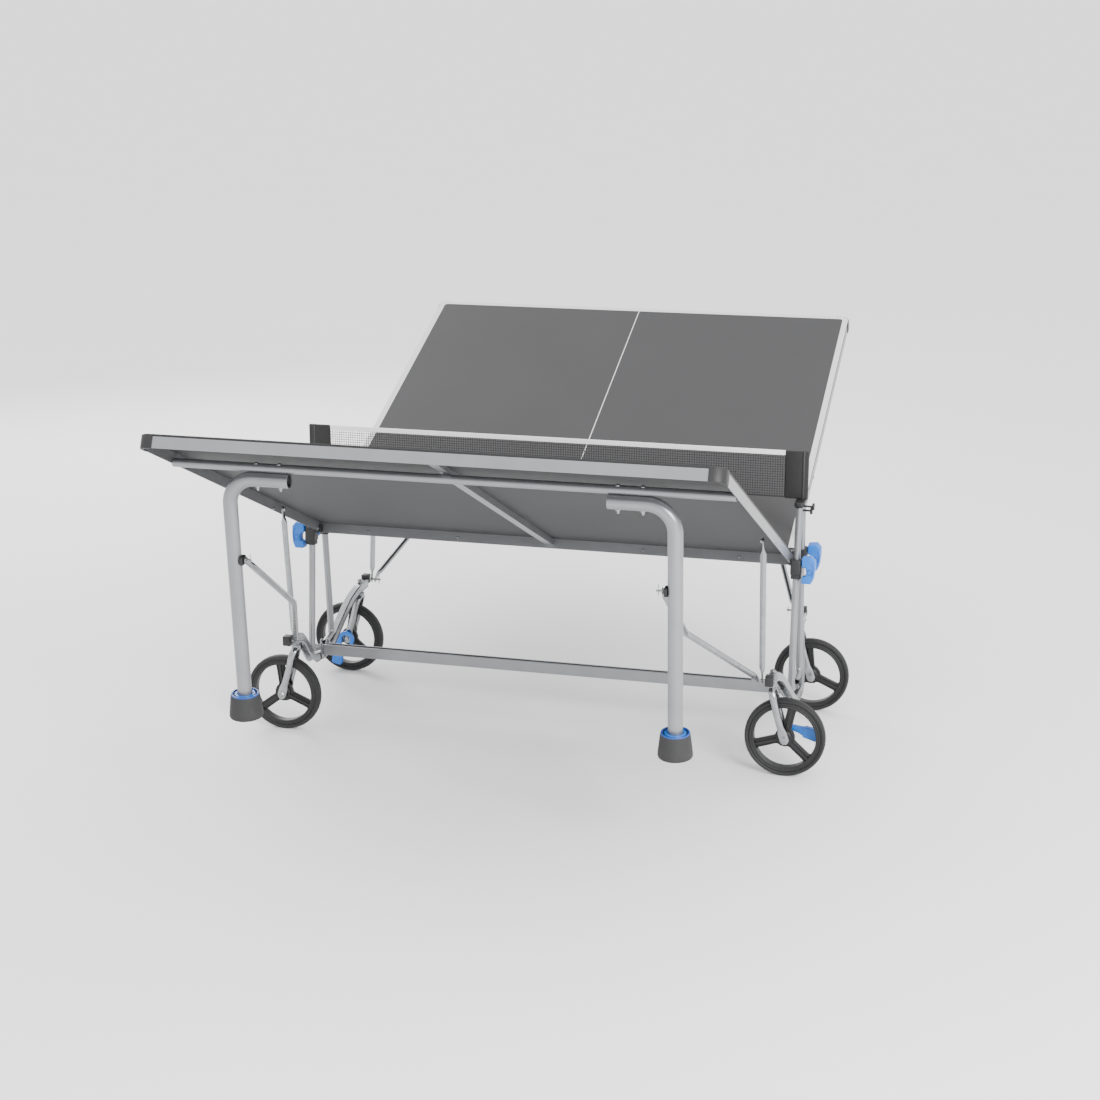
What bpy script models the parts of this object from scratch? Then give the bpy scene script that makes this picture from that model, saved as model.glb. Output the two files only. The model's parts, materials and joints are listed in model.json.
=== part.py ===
"""Folding table-tennis table on four swivel wheels, with both halves part way between play and storage.

X runs along the net, Y along the playing direction and Z up. The origin is on the floor, midway
between the wheels. Every size is in metres. The near half is at -Y, and the far half is the near
half turned half a turn about Z.
"""
from math import atan, cos, hypot, pi, radians, sin, tan

import bmesh
import bpy
from mathutils import Matrix, Vector

# Table top
TABLE_WIDTH = 1.525
HALF_LENGTH = 1.370
TOP_THICKNESS = 0.006
APRON_DEPTH = 0.0370
APRON_WALL = 0.002
CORNER_RADIUS = 0.030
CAP_ALONG_END = 0.038
CAP_ALONG_SIDE = 0.050
CAP_WALL = 0.002
GAP = 0.0003

# Fold hinge of each half in the near half's side view. The two halves are folded a little
# differently, and a half's hinge slides down its posts as it folds up.
FOLD_ANGLES = {"near": radians(23.6), "far": radians(22.4)}
MIDDLE_FOLD = radians(23.0)
MIDDLE_HINGE_Y = -0.0645
MIDDLE_HINGE_Z = 0.600
SLIDE_PER_RADIAN = 0.3251
HINGE_TO_INNER_EDGE = 0.040
HINGE_TO_SURFACE = 0.031

# Legs, struts and links
CROSS_TUBE_OUT = 1.109
CROSS_TUBE_DROP = 0.002
CROSS_TUBE_RADIUS = 0.012
LEG_RADIUS = 0.020
LEG_X = 0.605
LEG_INNER_END_X = 0.431
LEG_BEND_RADIUS = 0.075
LEG_LEAN = radians(4.5)
FOOT_DROP = 0.7265
BAR_END = 0.010
STRUT_FOOT_STRAIGHT = 0.024
STRUT_BEND_RADIUS = 0.045
FOOT_HEIGHT = 0.070
FOOT_BOTTOM_RADIUS = 0.047
FOOT_TOP_RADIUS = 0.039
FOOT_FLOOR = 0.010
TUBE_WALL = 0.0015
STRUT_PIVOT_DROP = 0.265
STRUT_TOP_X = 0.572
STRUT_LOWER_X = 0.717
STRUT_BEND_SHARE = 0.46
LINK_TOP_OUT = 0.377
LINK_X = 0.730
BAR_RADIUS = 0.009
BAR_EYE_WIDTH = 0.010
BAR_EYE_HALF_THICK = 0.0022
BAR_STATIONS = (0.004, 0.020, 0.033, 0.055)
BAR_TIP_WIDTH = 0.006
CHASSIS_PIVOT_Y = -0.356
CHASSIS_PIVOT_Z = 0.313

# Posts, rail and arms of the wheeled chassis
POST_X = 0.780
POST_RADIUS = 0.0105
POST_TOP_Z = 0.7375
POST_LEAN = 0.0920
POST_AXIS_Y_AT_FLOOR = -0.1070
POST_CORNER_Z = 0.198
POST_END_Y = -0.024
POST_END_Z = 0.184
POST_BEND_RADIUS = 0.020
SLIDE_HALF_X = 0.0165
SLIDE_LOW_Y = -0.014
SLIDE_HIGH_Y = 0.0275
SLIDE_ABOVE = 0.007
SLIDE_BELOW = 0.053
SLIDE_BORE = 0.0112
RAIL_HALF_DEPTH = 0.0125
RAIL_LOW_Z = 0.154
RAIL_HIGH_Z = 0.189
ARM_WIDTH = 0.024
ARM_HEIGHT = 0.026
ARM_WALL = 0.0025
ARM_FOOT_X = 0.786
ARM_FOOT_Z = 0.157
ARM_FOOT_GAP = 0.002
ARM_TIP_Y = -0.345
ARM_TIP_Z = 0.303

# Casters
SWIVEL_X = 0.752
SWIVEL_Y = -0.295
TRAIL = 0.042
WHEEL_RADIUS = 0.1215
WHEEL_WIDTH = 0.032
WHEEL_SEGMENTS = 36
RIM_INNER_RADIUS = 0.094
HUB_RADIUS = 0.021
SPOKE_HALF_WIDTH = 0.009
FORK_HALF_GAP = 0.0225
FORK_STRAP_WIDTH = 0.022
FORK_STRAP_THICK = 0.005
FORK_CROWN_Z = 0.2745
NECK_RADIUS = 0.011
NECK_TOP_Z = 0.2892
BRAKE_RING_RADIUS = 0.0280
BRAKE_BORE_RADIUS = 0.008
BRAKE_THICK = 0.012
PEDAL_REACH = 0.092
PEDAL_HALF_WIDTH = 0.0150

# Lock handles
HANDLE_PIVOT_X = 0.8065
HANDLE_PIVOT_UP = 0.012
HANDLE_HEIGHT = 0.084
HANDLE_DEPTH = 0.040
HANDLE_HALF_Y = 0.017

# Net
NET_HALF_LENGTH = 0.7285
NET_LOW_Z = 0.779
NET_TOP_Z = 0.922
NET_THICK = 0.003
SLEEVE_OUTER_X = 0.800
SLEEVE_THICK = 0.014
CLAMP_LOW_Z = 0.739
CLAMP_TOP_Z = 0.776
CLAMP_HALF_X = 0.0155
CLAMP_HALF_Y = 0.052

WHEEL_CENTRE_Z = WHEEL_RADIUS * cos(pi / WHEEL_SEGMENTS)
HALF_WIDTH = TABLE_WIDTH / 2
SURFACE = HINGE_TO_SURFACE
APRON_TOP = SURFACE - TOP_THICKNESS - GAP
APRON_LOW = SURFACE - APRON_DEPTH
OUTER_EDGE = HINGE_TO_INNER_EDGE - HALF_LENGTH

COLOURS = {
    "top_laminate": ((0.12, 0.12, 0.12), 0.55, 0.0),
    "silver_paint": ((0.50, 0.50, 0.50), 0.40, 0.7),
    "zinc_steel": ((0.62, 0.62, 0.62), 0.35, 0.9),
    "black_plastic": ((0.03, 0.03, 0.03), 0.50, 0.0),
    "blue_plastic": ((0.07, 0.31, 0.80), 0.40, 0.0),
    "foot_rubber": ((0.04, 0.04, 0.04), 0.80, 0.0),
    "wheel_plastic": ((0.03, 0.03, 0.03), 0.55, 0.0),
    "net_cord": ((0.03, 0.03, 0.03), 0.85, 0.0),
}


def clear_scene():
    for item in list(bpy.data.objects):
        bpy.data.objects.remove(item, do_unlink=True)


def material(name):
    """The named finish, made on first use."""
    found = bpy.data.materials.get(name)
    if found:
        return found
    colour, roughness, metallic = COLOURS[name]
    finish = bpy.data.materials.new(name)
    finish.use_nodes = True
    shader = finish.node_tree.nodes["Principled BSDF"]
    shader.inputs["Base Color"].default_value = (*colour, 1.0)
    shader.inputs["Roughness"].default_value = roughness
    shader.inputs["Metallic"].default_value = metallic
    return finish


def empty(name, parent=None, location=(0, 0, 0), rotation=(0, 0, 0)):
    axis = bpy.data.objects.new(name, None)
    bpy.context.collection.objects.link(axis)
    axis.parent = parent
    axis.location = location
    axis.rotation_euler = rotation
    return axis


def part(name, mesh_builder, finish, parent, location=(0, 0, 0), rotation=(0, 0, 0), smooth=True):
    """One named sub-part from a filled bmesh, with its normals pointing out."""
    bmesh.ops.recalc_face_normals(mesh_builder, faces=mesh_builder.faces)
    mesh = bpy.data.meshes.new(name)
    mesh_builder.to_mesh(mesh)
    mesh_builder.free()
    if smooth:
        mesh.shade_smooth()
        mesh.set_sharp_from_angle(angle=radians(40))
    mesh.materials.append(material(finish))
    item = bpy.data.objects.new(name, mesh)
    bpy.context.collection.objects.link(item)
    item.parent = parent
    item.location = location
    item.rotation_euler = rotation
    return item


def add_boolean(item, cutter, operation):
    """Joins or cuts item with a hidden helper that shares its parent."""
    cutter.parent = item.parent
    cutter.hide_render = True
    cutter.display_type = "WIRE"
    modifier = item.modifiers.new(operation.lower(), "BOOLEAN")
    modifier.object = cutter
    modifier.operation = operation
    modifier.solver = "EXACT"


def box(low, high):
    """A block between two opposite corners."""
    shape = bmesh.new()
    size = Vector(high) - Vector(low)
    middle = (Vector(high) + Vector(low)) / 2
    matrix = Matrix.Translation(middle) @ Matrix.Diagonal((*size, 1))
    bmesh.ops.create_cube(shape, size=1.0, matrix=matrix)
    return shape


def extruded(outline, low, high, axis="Z"):
    """A prism: a flat outline carried from low to high along one axis."""
    places = {"X": lambda a, b, c: (c, a, b), "Y": lambda a, b, c: (a, c, b),
              "Z": lambda a, b, c: (a, b, c)}
    shape = bmesh.new()
    rings = [[shape.verts.new(places[axis](a, b, c)) for a, b in outline] for c in (low, high)]
    shape.faces.new(rings[0])
    shape.faces.new(reversed(rings[1]))
    bridge(shape, rings)
    return shape


def bridge(shape, rings, closed=False):
    """Joins each ring of points to the next with quads."""
    pairs = list(zip(rings, rings[1:]))
    if closed:
        pairs.append((rings[-1], rings[0]))
    for first, second in pairs:
        count = len(first)
        for i in range(count):
            j = (i + 1) % count
            shape.faces.new((first[i], first[j], second[j], second[i]))


def arc(centre, radius, start, end, steps):
    """Points on a circle in a plane, from one angle to another."""
    angles = [start + (end - start) * i / steps for i in range(steps + 1)]
    return [(centre[0] + radius * cos(a), centre[1] + radius * sin(a)) for a in angles]


def rounded_path(corners, radius, steps):
    """A polyline whose inner corners are turned on arcs of one radius."""
    points = [Vector(corners[0])]
    for before, corner, after in zip(corners, corners[1:], corners[2:]):
        corner = Vector(corner)
        back = (Vector(before) - corner).normalized()
        ahead = (Vector(after) - corner).normalized()
        half_turn = (pi - back.angle(ahead)) / 2
        reach = radius * tan(half_turn)
        middle = corner + (back + ahead).normalized() * hypot(radius, reach)
        start = corner + back * reach - middle
        end = corner + ahead * reach - middle
        for i in range(steps + 1):
            share = i / steps
            spoke = start * sin((1 - share) * 2 * half_turn) + end * sin(share * 2 * half_turn)
            points.append(middle + spoke / sin(2 * half_turn))
    points.append(Vector(corners[-1]))
    return points


def smooth_path(anchors, steps):
    """A Catmull-Rom curve through the anchors."""
    spots = [Vector(a) for a in anchors]
    spots = [spots[0] * 2 - spots[1]] + spots + [spots[-1] * 2 - spots[-2]]
    points = []
    for a, b, c, d in zip(spots, spots[1:], spots[2:], spots[3:]):
        for i in range(steps):
            t = i / steps
            points.append(0.5 * (2 * b + (c - a) * t + (2 * a - 5 * b + 4 * c - d) * t**2
                                 + (3 * b - a - 3 * c + d) * t**3))
    points.append(spots[-2])
    return points


def tangents(points):
    count = len(points)
    return [(points[min(i + 1, count - 1)] - points[max(i - 1, 0)]).normalized() for i in range(count)]


def swept(points, sections, side=Vector((1, 0, 0))):
    """A closed body along a path: one flat section for each point, its first axis near side."""
    shape = bmesh.new()
    rings = []
    for point, along, section in zip(points, tangents(points), sections):
        up = along.cross(side).normalized()
        across = up.cross(along).normalized()
        rings.append([shape.verts.new(point + across * a + up * b) for a, b in section])
    bridge(shape, rings)
    shape.faces.new(rings[0])
    shape.faces.new(reversed(rings[-1]))
    return shape


def pipe(points, radius, wall, sides, side=Vector((1, 0, 0))):
    """A tube that is open at both ends, as a body with an outer and an inner skin."""
    shape = bmesh.new()
    skins = []
    for skin_radius in (radius, radius - wall):
        rings = []
        for point, along in zip(points, tangents(points)):
            up = along.cross(side).normalized()
            across = up.cross(along).normalized()
            circle = [(skin_radius * cos(2 * pi * i / sides), skin_radius * sin(2 * pi * i / sides))
                      for i in range(sides)]
            rings.append([shape.verts.new(point + across * a + up * b) for a, b in circle])
        skins.append(rings)
    outer, inner = skins
    bridge(shape, outer)
    bridge(shape, inner)
    bridge(shape, [outer[0], inner[0]])
    bridge(shape, [outer[-1], inner[-1]])
    return shape


def turned(profile, sides):
    """A body of revolution about Z from (radius, height) points, closed by a disc at each end."""
    shape = bmesh.new()
    rings = [[shape.verts.new((r * cos(2 * pi * i / sides), r * sin(2 * pi * i / sides), z))
              for i in range(sides)] for r, z in profile]
    bridge(shape, rings)
    shape.faces.new(rings[0])
    shape.faces.new(reversed(rings[-1]))
    return shape


def top_outline(grow=0.0):
    """Plan of a half: square at the net edge, round at the two outer corners."""
    half = HALF_WIDTH + grow
    outer = OUTER_EDGE - grow
    radius = CORNER_RADIUS + grow
    left = arc((-half + radius, outer + radius), radius, pi, 1.5 * pi, 6)
    right = arc((half - radius, outer + radius), radius, -0.5 * pi, 0, 6)
    return left + right + [(half, HINGE_TO_INNER_EDGE + grow), (-half, HINGE_TO_INNER_EDGE + grow)]


def build_top(end, fold):
    board = extruded(top_outline(), SURFACE - TOP_THICKNESS, SURFACE)
    part(f"{end}_playing_top", board, "top_laminate", fold)


def build_apron(end, fold):
    shape = bmesh.new()
    rings = []
    corners = ((0, APRON_LOW), (0, APRON_TOP), (-APRON_WALL, APRON_TOP), (-APRON_WALL, APRON_LOW))
    for grow, height in corners:
        rings.append([shape.verts.new((x, y, height)) for x, y in top_outline(grow)])
    bridge(shape, rings, closed=True)
    part(f"{end}_apron_frame", shape, "silver_paint", fold)


def build_corner_cap(name, hand, fold):
    """A thin shell round one outer corner of the apron."""
    edge = HALF_WIDTH + GAP
    outer = OUTER_EDGE - GAP
    radius = CORNER_RADIUS + GAP
    rings = []
    shape = bmesh.new()
    for grow in (0.0, CAP_WALL):
        corner = arc((edge - radius, outer + radius), radius + grow, -0.5 * pi, 0, 6)
        start = (edge - CAP_ALONG_END, outer - grow)
        finish = (edge + grow, outer + CAP_ALONG_SIDE)
        rings.append([start] + corner + [finish])
    loops = [[shape.verts.new((hand * x, y, z)) for x, y in ring]
             for z in (APRON_LOW, APRON_TOP) for ring in rings]
    inner_low, outer_low, inner_high, outer_high = loops
    count = len(inner_low)
    for first, second in ((inner_low, outer_low), (outer_low, outer_high), (outer_high, inner_high),
                          (inner_high, inner_low)):
        for i in range(count - 1):
            shape.faces.new((first[i], first[i + 1], second[i + 1], second[i]))
    for i in (0, count - 1):
        shape.faces.new((inner_low[i], outer_low[i], outer_high[i], inner_high[i]))
    part(name, shape, "black_plastic", fold)


def build_centre_brace(end, fold):
    low = (-0.0125, -CROSS_TUBE_OUT + CROSS_TUBE_RADIUS + 0.002, 0.005)
    high = (0.0125, HINGE_TO_INNER_EDGE - APRON_WALL - GAP, APRON_TOP)
    part(f"{end}_centre_brace", box(low, high), "silver_paint", fold)


def bar_sections(length_shares, total):
    """Sections of a round bar whose two ends are pressed flat into eyes with narrowed tips."""
    sections = []
    for share in length_shares:
        from_end = min(share, 1 - share) * total
        flat = min(max((BAR_STATIONS[3] - from_end) / (BAR_STATIONS[3] - BAR_STATIONS[2]), 0.0), 1.0)
        thick = BAR_RADIUS * (1 - flat) + BAR_EYE_HALF_THICK * flat
        wide = BAR_RADIUS * (1 - flat) + BAR_EYE_WIDTH * flat
        tip = max(1 - from_end / BAR_STATIONS[0], 0.0)
        wide = wide * (1 - tip) + BAR_TIP_WIDTH * tip
        angles = [2 * pi * i / 12 for i in range(12)]
        sections.append([(thick * cos(a), wide * sin(a)) for a in angles])
    return sections


def flat_ended_bar(name, route, parent):
    """A bar along a route, with a flat eye at each end that lies across X."""
    lengths = [0.0]
    for a, b in zip(route, route[1:]):
        lengths.append(lengths[-1] + (b - a).length)
    total = lengths[-1]
    part(name, swept(route, bar_sections([s / total for s in lengths], total)), "zinc_steel", parent)


def divided(start, end, distances):
    """Points on a straight line at the given distances from its start."""
    along = (Vector(end) - Vector(start)).normalized()
    return [Vector(start) + along * d for d in distances]


def build_link(name, hand, end_frame, upper, pivot):
    """The bar from the chassis up to the side of a half, on its lower pivot's axis."""
    axis = empty(name + "_axis", end_frame, (0, pivot.y, pivot.z))
    reach = upper - pivot
    length = hypot(reach.y, reach.z)
    direction = Vector((0, reach.y, reach.z)) / length
    start = Vector((hand * LINK_X, 0, 0)) - direction * BAR_END
    total = length + 2 * BAR_END
    finish = start + direction * total
    route = [start] + divided(start, finish, BAR_STATIONS)
    route += list(reversed(divided(finish, start, BAR_STATIONS))) + [finish]
    flat_ended_bar(name, route, axis)


def build_strut(name, hand, end_frame, pivot, lower):
    """The bent bar from a leg to the chassis, on its upper pivot's axis."""
    axis = empty(name + "_axis", end_frame, (0, pivot.y, pivot.z))
    reach = lower - pivot
    flat_reach = Vector((0, reach.y, reach.z))
    direction = flat_reach.normalized()
    top = Vector((hand * STRUT_TOP_X, 0, 0))
    knee = top + flat_reach * STRUT_BEND_SHARE
    foot = Vector((hand * STRUT_LOWER_X, reach.y, reach.z))
    foot_bend = foot - direction * STRUT_FOOT_STRAIGHT
    corners = [top - direction * BAR_END, knee, foot_bend, foot + direction * BAR_END]
    run = rounded_path(corners, STRUT_BEND_RADIUS, 3)
    knee_turn = run[1:5]
    foot_turn = run[5:]
    route = [run[0]] + divided(run[0], knee_turn[0], BAR_STATIONS) + knee_turn
    route += divided(foot_turn[0], knee_turn[-1], (0.020,)) + foot_turn
    flat_ended_bar(name, route, axis)


def build_leg(name, hand, pivot_frame):
    """A bent tube under the cross tube: a short run along X, then down to the foot."""
    under = -(CROSS_TUBE_RADIUS + LEG_RADIUS + GAP)
    bottom = -FOOT_DROP + FOOT_FLOOR + GAP
    corners = [(hand * LEG_INNER_END_X, 0, under), (hand * LEG_X, 0, under), (hand * LEG_X, 0, bottom)]
    route = rounded_path(corners, LEG_BEND_RADIUS, 6)
    part(name, pipe(route, LEG_RADIUS, TUBE_WALL, 16, Vector((0, 1, 0))), "silver_paint", pivot_frame)


def build_foot(name, hand, pivot_frame):
    """A flared foot with a socket for the leg."""
    socket = LEG_RADIUS + 0.0004
    profile = [(FOOT_BOTTOM_RADIUS - 0.004, 0), (FOOT_BOTTOM_RADIUS, 0.008),
               (FOOT_TOP_RADIUS, FOOT_HEIGHT - 0.003), (FOOT_TOP_RADIUS - 0.003, FOOT_HEIGHT),
               (socket, FOOT_HEIGHT), (socket, FOOT_FLOOR)]
    part(name, turned(profile, 24), "foot_rubber", pivot_frame, (hand * LEG_X, 0, -FOOT_DROP))


def build_cross_tube(end, pivot_frame):
    reach = HALF_WIDTH - APRON_WALL - 0.001
    ends = [Vector((-reach, 0, 0)), Vector((reach, 0, 0))]
    tube = pipe(ends, CROSS_TUBE_RADIUS, TUBE_WALL, 14, Vector((0, 1, 0)))
    part(f"{end}_cross_tube", tube, "silver_paint", pivot_frame)


def build_post(name, hand, end_frame):
    """The leaning upright that its half's slide block runs on."""
    def on_axis(z):
        return Vector((hand * POST_X, POST_AXIS_Y_AT_FLOOR + POST_LEAN * z, z))
    corners = [on_axis(POST_TOP_Z), on_axis(POST_CORNER_Z), Vector((hand * POST_X, POST_END_Y, POST_END_Z))]
    route = rounded_path(corners, POST_BEND_RADIUS, 4)
    part(name, pipe(route, POST_RADIUS, TUBE_WALL, 16), "silver_paint", end_frame)


def build_slide_block(name, hand, slide_frame):
    """The plastic block that slides on a post and carries a half's hinge pin."""
    centre_x = hand * POST_X
    low = (centre_x - SLIDE_HALF_X, SLIDE_LOW_Y, -SLIDE_BELOW)
    high = (centre_x + SLIDE_HALF_X, SLIDE_HIGH_Y, SLIDE_ABOVE)
    shape = box(low, high)
    block = part(name, shape, "black_plastic", slide_frame, smooth=False)
    bore = part(name + "_bore_cutter", turned([(SLIDE_BORE, -0.1), (SLIDE_BORE, 0.1)], 16), "black_plastic",
                slide_frame, (centre_x, post_offset(), 0))
    add_boolean(block, bore, "DIFFERENCE")


def post_offset():
    """How far the post's axis stands from the hinge pin, across the post."""
    return (POST_AXIS_Y_AT_FLOOR + POST_LEAN * MIDDLE_HINGE_Z - MIDDLE_HINGE_Y) / hypot(1, POST_LEAN)


def build_lock_handle(name, hand, slide_frame):
    """A hooked grip that swings out from the slide block to free it."""
    pivot = (hand * HANDLE_PIVOT_X, 0, HANDLE_PIVOT_UP)
    axis = empty(name + "_axis", slide_frame, pivot)
    inner = -0.008
    outer = HANDLE_DEPTH - 0.008
    top = 0.008
    bottom = top - HANDLE_HEIGHT
    outline = [(inner, top - 0.004), (inner, bottom + 0.050), (inner + 0.010, bottom + 0.046),
               (inner + 0.012, bottom + 0.022), (inner + 0.002, bottom + 0.018), (inner + 0.002, bottom)]
    outline += [(outer - 0.010, bottom)] + arc((outer - 0.016, top - 0.016), 0.016, 0, pi / 2, 4)
    shape = extruded([(hand * x, z) for x, z in outline], -HANDLE_HALF_Y, HANDLE_HALF_Y, "Y")
    part(name, shape, "blue_plastic", axis)


def build_arm(name, hand, end_frame):
    """A pressed channel, open below, from the foot of the posts over to a caster."""
    anchors = [(ARM_FOOT_X, -ARM_FOOT_GAP, ARM_FOOT_Z), (ARM_FOOT_X, -0.045, ARM_FOOT_Z),
               (0.783, -0.085, 0.168), (0.774, -0.150, 0.221), (0.763, -0.215, 0.273),
               (SWIVEL_X + 0.001, -0.270, 0.299), (SWIVEL_X, -0.310, ARM_TIP_Z),
               (SWIVEL_X, ARM_TIP_Y, ARM_TIP_Z)]
    route = smooth_path([(hand * x, y, z) for x, y, z in anchors], 2)
    half = ARM_WIDTH / 2
    top = ARM_HEIGHT / 2
    section = [(-half, -top), (-half, top), (half, top), (half, -top), (half - ARM_WALL, -top),
               (half - ARM_WALL, top - ARM_WALL), (-half + ARM_WALL, top - ARM_WALL), (-half + ARM_WALL, -top)]
    part(name, swept(route, [section] * len(route)), "silver_paint", end_frame, smooth=False)


def build_fork(name, hand, swivel_frame):
    """An inverted U strap over the wheel, with a neck up to the arm."""
    drop = WHEEL_CENTRE_Z
    side = FORK_HALF_GAP + FORK_STRAP_THICK / 2
    half_path = [(hand * TRAIL * 1.16, side, drop - 0.016), (hand * TRAIL, side, drop),
                 (hand * TRAIL * 0.45, side, 0.195), (hand * TRAIL * 0.16, side - 0.001, 0.245),
                 (0, 0.017, 0.268), (0, 0.006, FORK_CROWN_Z)]
    path = [Vector(p) for p in half_path]
    path += [Vector((x, -y, z)) for x, y, z in reversed(half_path)]
    half_wide = FORK_STRAP_WIDTH / 2
    half_thick = FORK_STRAP_THICK / 2
    section = [(-half_wide, -half_thick), (half_wide, -half_thick),
               (half_wide, half_thick), (-half_wide, half_thick)]
    strap = swept(path, [section] * len(path))
    fork = part(name, strap, "zinc_steel", swivel_frame, smooth=False)
    neck = turned([(NECK_RADIUS, FORK_CROWN_Z - 0.004), (NECK_RADIUS, NECK_TOP_Z)], 16)
    add_boolean(fork, part(name + "_neck", neck, "zinc_steel", swivel_frame), "UNION")


def build_wheel(name, wheel_frame):
    """A three-spoke wheel about Y, with a flat of its rim on the floor."""
    shape = bmesh.new()
    front = {}
    per_spoke = WHEEL_SEGMENTS // 3
    spoke_turn = [pi / 2 + 2 * pi * k / 3 for k in range(3)]

    def vert(key, radius, angle):
        if key not in front:
            front[key] = shape.verts.new((radius * cos(angle), -WHEEL_WIDTH / 2, radius * sin(angle)))
        return front[key]

    # The spokes start on the hub and end on the rim, and each window lies between two of them.
    for k, turn in enumerate(spoke_turn):
        rim_half = SPOKE_HALF_WIDTH * 1.5 / RIM_INNER_RADIUS
        hub_half = SPOKE_HALF_WIDTH / HUB_RADIUS
        window = 2 * pi / 3
        rim_angles = [turn + rim_half + (window - 2 * rim_half) * i / (per_spoke - 1) for i in range(per_spoke)]
        hub_angles = [turn + hub_half + (window - 2 * hub_half) * i / 4 for i in range(5)]
        outer_angles = [turn + window * (i + 0.5) / per_spoke for i in range(per_spoke)]
        for i, angle in enumerate(rim_angles):
            vert(("rim", k, i), RIM_INNER_RADIUS, angle)
        for i, angle in enumerate(hub_angles):
            vert(("hub", k, i), HUB_RADIUS, angle)
        for i, angle in enumerate(outer_angles):
            vert(("tyre", k, i), WHEEL_RADIUS, angle)
    for k in range(3):
        after = (k + 1) % 3
        for i in range(per_spoke - 1):
            shape.faces.new([front[("tyre", k, i)], front[("tyre", k, i + 1)],
                             front[("rim", k, i + 1)], front[("rim", k, i)]])
        last = per_spoke - 1
        shape.faces.new([front[("tyre", k, last)], front[("tyre", after, 0)], front[("rim", after, 0)],
                         front[("rim", k, last)]])
        shape.faces.new([front[("rim", k, last)], front[("rim", after, 0)], front[("hub", after, 0)],
                         front[("hub", k, 4)]])
    shape.faces.new([front[("hub", k, i)] for k in range(3) for i in range(5)])
    bmesh.ops.recalc_face_normals(shape, faces=shape.faces)
    skin = bmesh.ops.extrude_face_region(shape, geom=list(shape.faces))
    moved = [item for item in skin["geom"] if isinstance(item, bmesh.types.BMVert)]
    bmesh.ops.translate(shape, vec=(0, WHEEL_WIDTH, 0), verts=moved)
    part(name, shape, "wheel_plastic", wheel_frame)


def build_brake(name, inward, turn, swivel_frame, centre):
    """A ring round the axle with a pedal, on the inner side of a fork."""
    near = inward * (FORK_HALF_GAP + FORK_STRAP_THICK + 0.0006)
    ring = arc((0, 0), BRAKE_RING_RADIUS, radians(35), radians(325), 14)
    pedal = [(PEDAL_REACH * 0.62, -PEDAL_HALF_WIDTH), (PEDAL_REACH, -PEDAL_HALF_WIDTH),
             (PEDAL_REACH, PEDAL_HALF_WIDTH), (PEDAL_REACH * 0.62, PEDAL_HALF_WIDTH)]
    axis = empty(name + "_axis", swivel_frame, centre, (0, -turn, 0))
    plate = extruded(ring + pedal, near, near + inward * BRAKE_THICK, "Y")
    brake = part(name, plate, "blue_plastic", axis)
    bore = turned([(BRAKE_BORE_RADIUS, -0.1), (BRAKE_BORE_RADIUS, 0.1)], 16)
    add_boolean(brake, part(name + "_bore_cutter", bore, "blue_plastic", axis, rotation=(pi / 2, 0, 0)),
                "DIFFERENCE")


def build_rail(chassis):
    reach = ARM_FOOT_X - ARM_WIDTH / 2 - GAP
    low = (-reach, -RAIL_HALF_DEPTH, RAIL_LOW_Z)
    high = (reach, RAIL_HALF_DEPTH, RAIL_HIGH_Z)
    part("lower_rail", box(low, high), "silver_paint", chassis, smooth=False)


def build_net(chassis):
    half_thick = NET_THICK / 2
    cloth = box((-NET_HALF_LENGTH, -half_thick, NET_LOW_Z), (NET_HALF_LENGTH, half_thick, NET_TOP_Z))
    part("net", cloth, "net_cord", chassis, smooth=False)
    for word, hand in (("left", -1), ("right", 1)):
        inner = hand * (NET_HALF_LENGTH + GAP)
        outer = hand * SLEEVE_OUTER_X
        low_x, high_x = sorted((inner, outer))
        low = (low_x, -SLEEVE_THICK / 2, CLAMP_TOP_Z + GAP)
        high = (high_x, SLEEVE_THICK / 2, NET_TOP_Z + 0.002)
        part(f"{word}_net_post", box(low, high), "black_plastic", chassis, smooth=False)
        centre = hand * POST_X
        low = (centre - CLAMP_HALF_X, -CLAMP_HALF_Y, CLAMP_LOW_Z)
        high = (centre + CLAMP_HALF_X, CLAMP_HALF_Y, CLAMP_TOP_Z)
        part(f"{word}_net_clamp", box(low, high), "black_plastic", chassis, smooth=False)


def hinge_at(fold_angle):
    """Where a half's hinge stands on its posts at that fold angle."""
    slid = SLIDE_PER_RADIAN * (MIDDLE_FOLD - fold_angle)
    upright = Vector((0, POST_LEAN, 1)).normalized()
    return Vector((0, MIDDLE_HINGE_Y, MIDDLE_HINGE_Z)) + upright * slid


def on_half(hinge, fold_angle, out, up):
    """A point of a half from its distances out from the hinge and above it, square to the half."""
    y = -out * cos(fold_angle) + up * sin(fold_angle)
    z = out * sin(fold_angle) + up * cos(fold_angle)
    return hinge + Vector((0, y, z))


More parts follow.
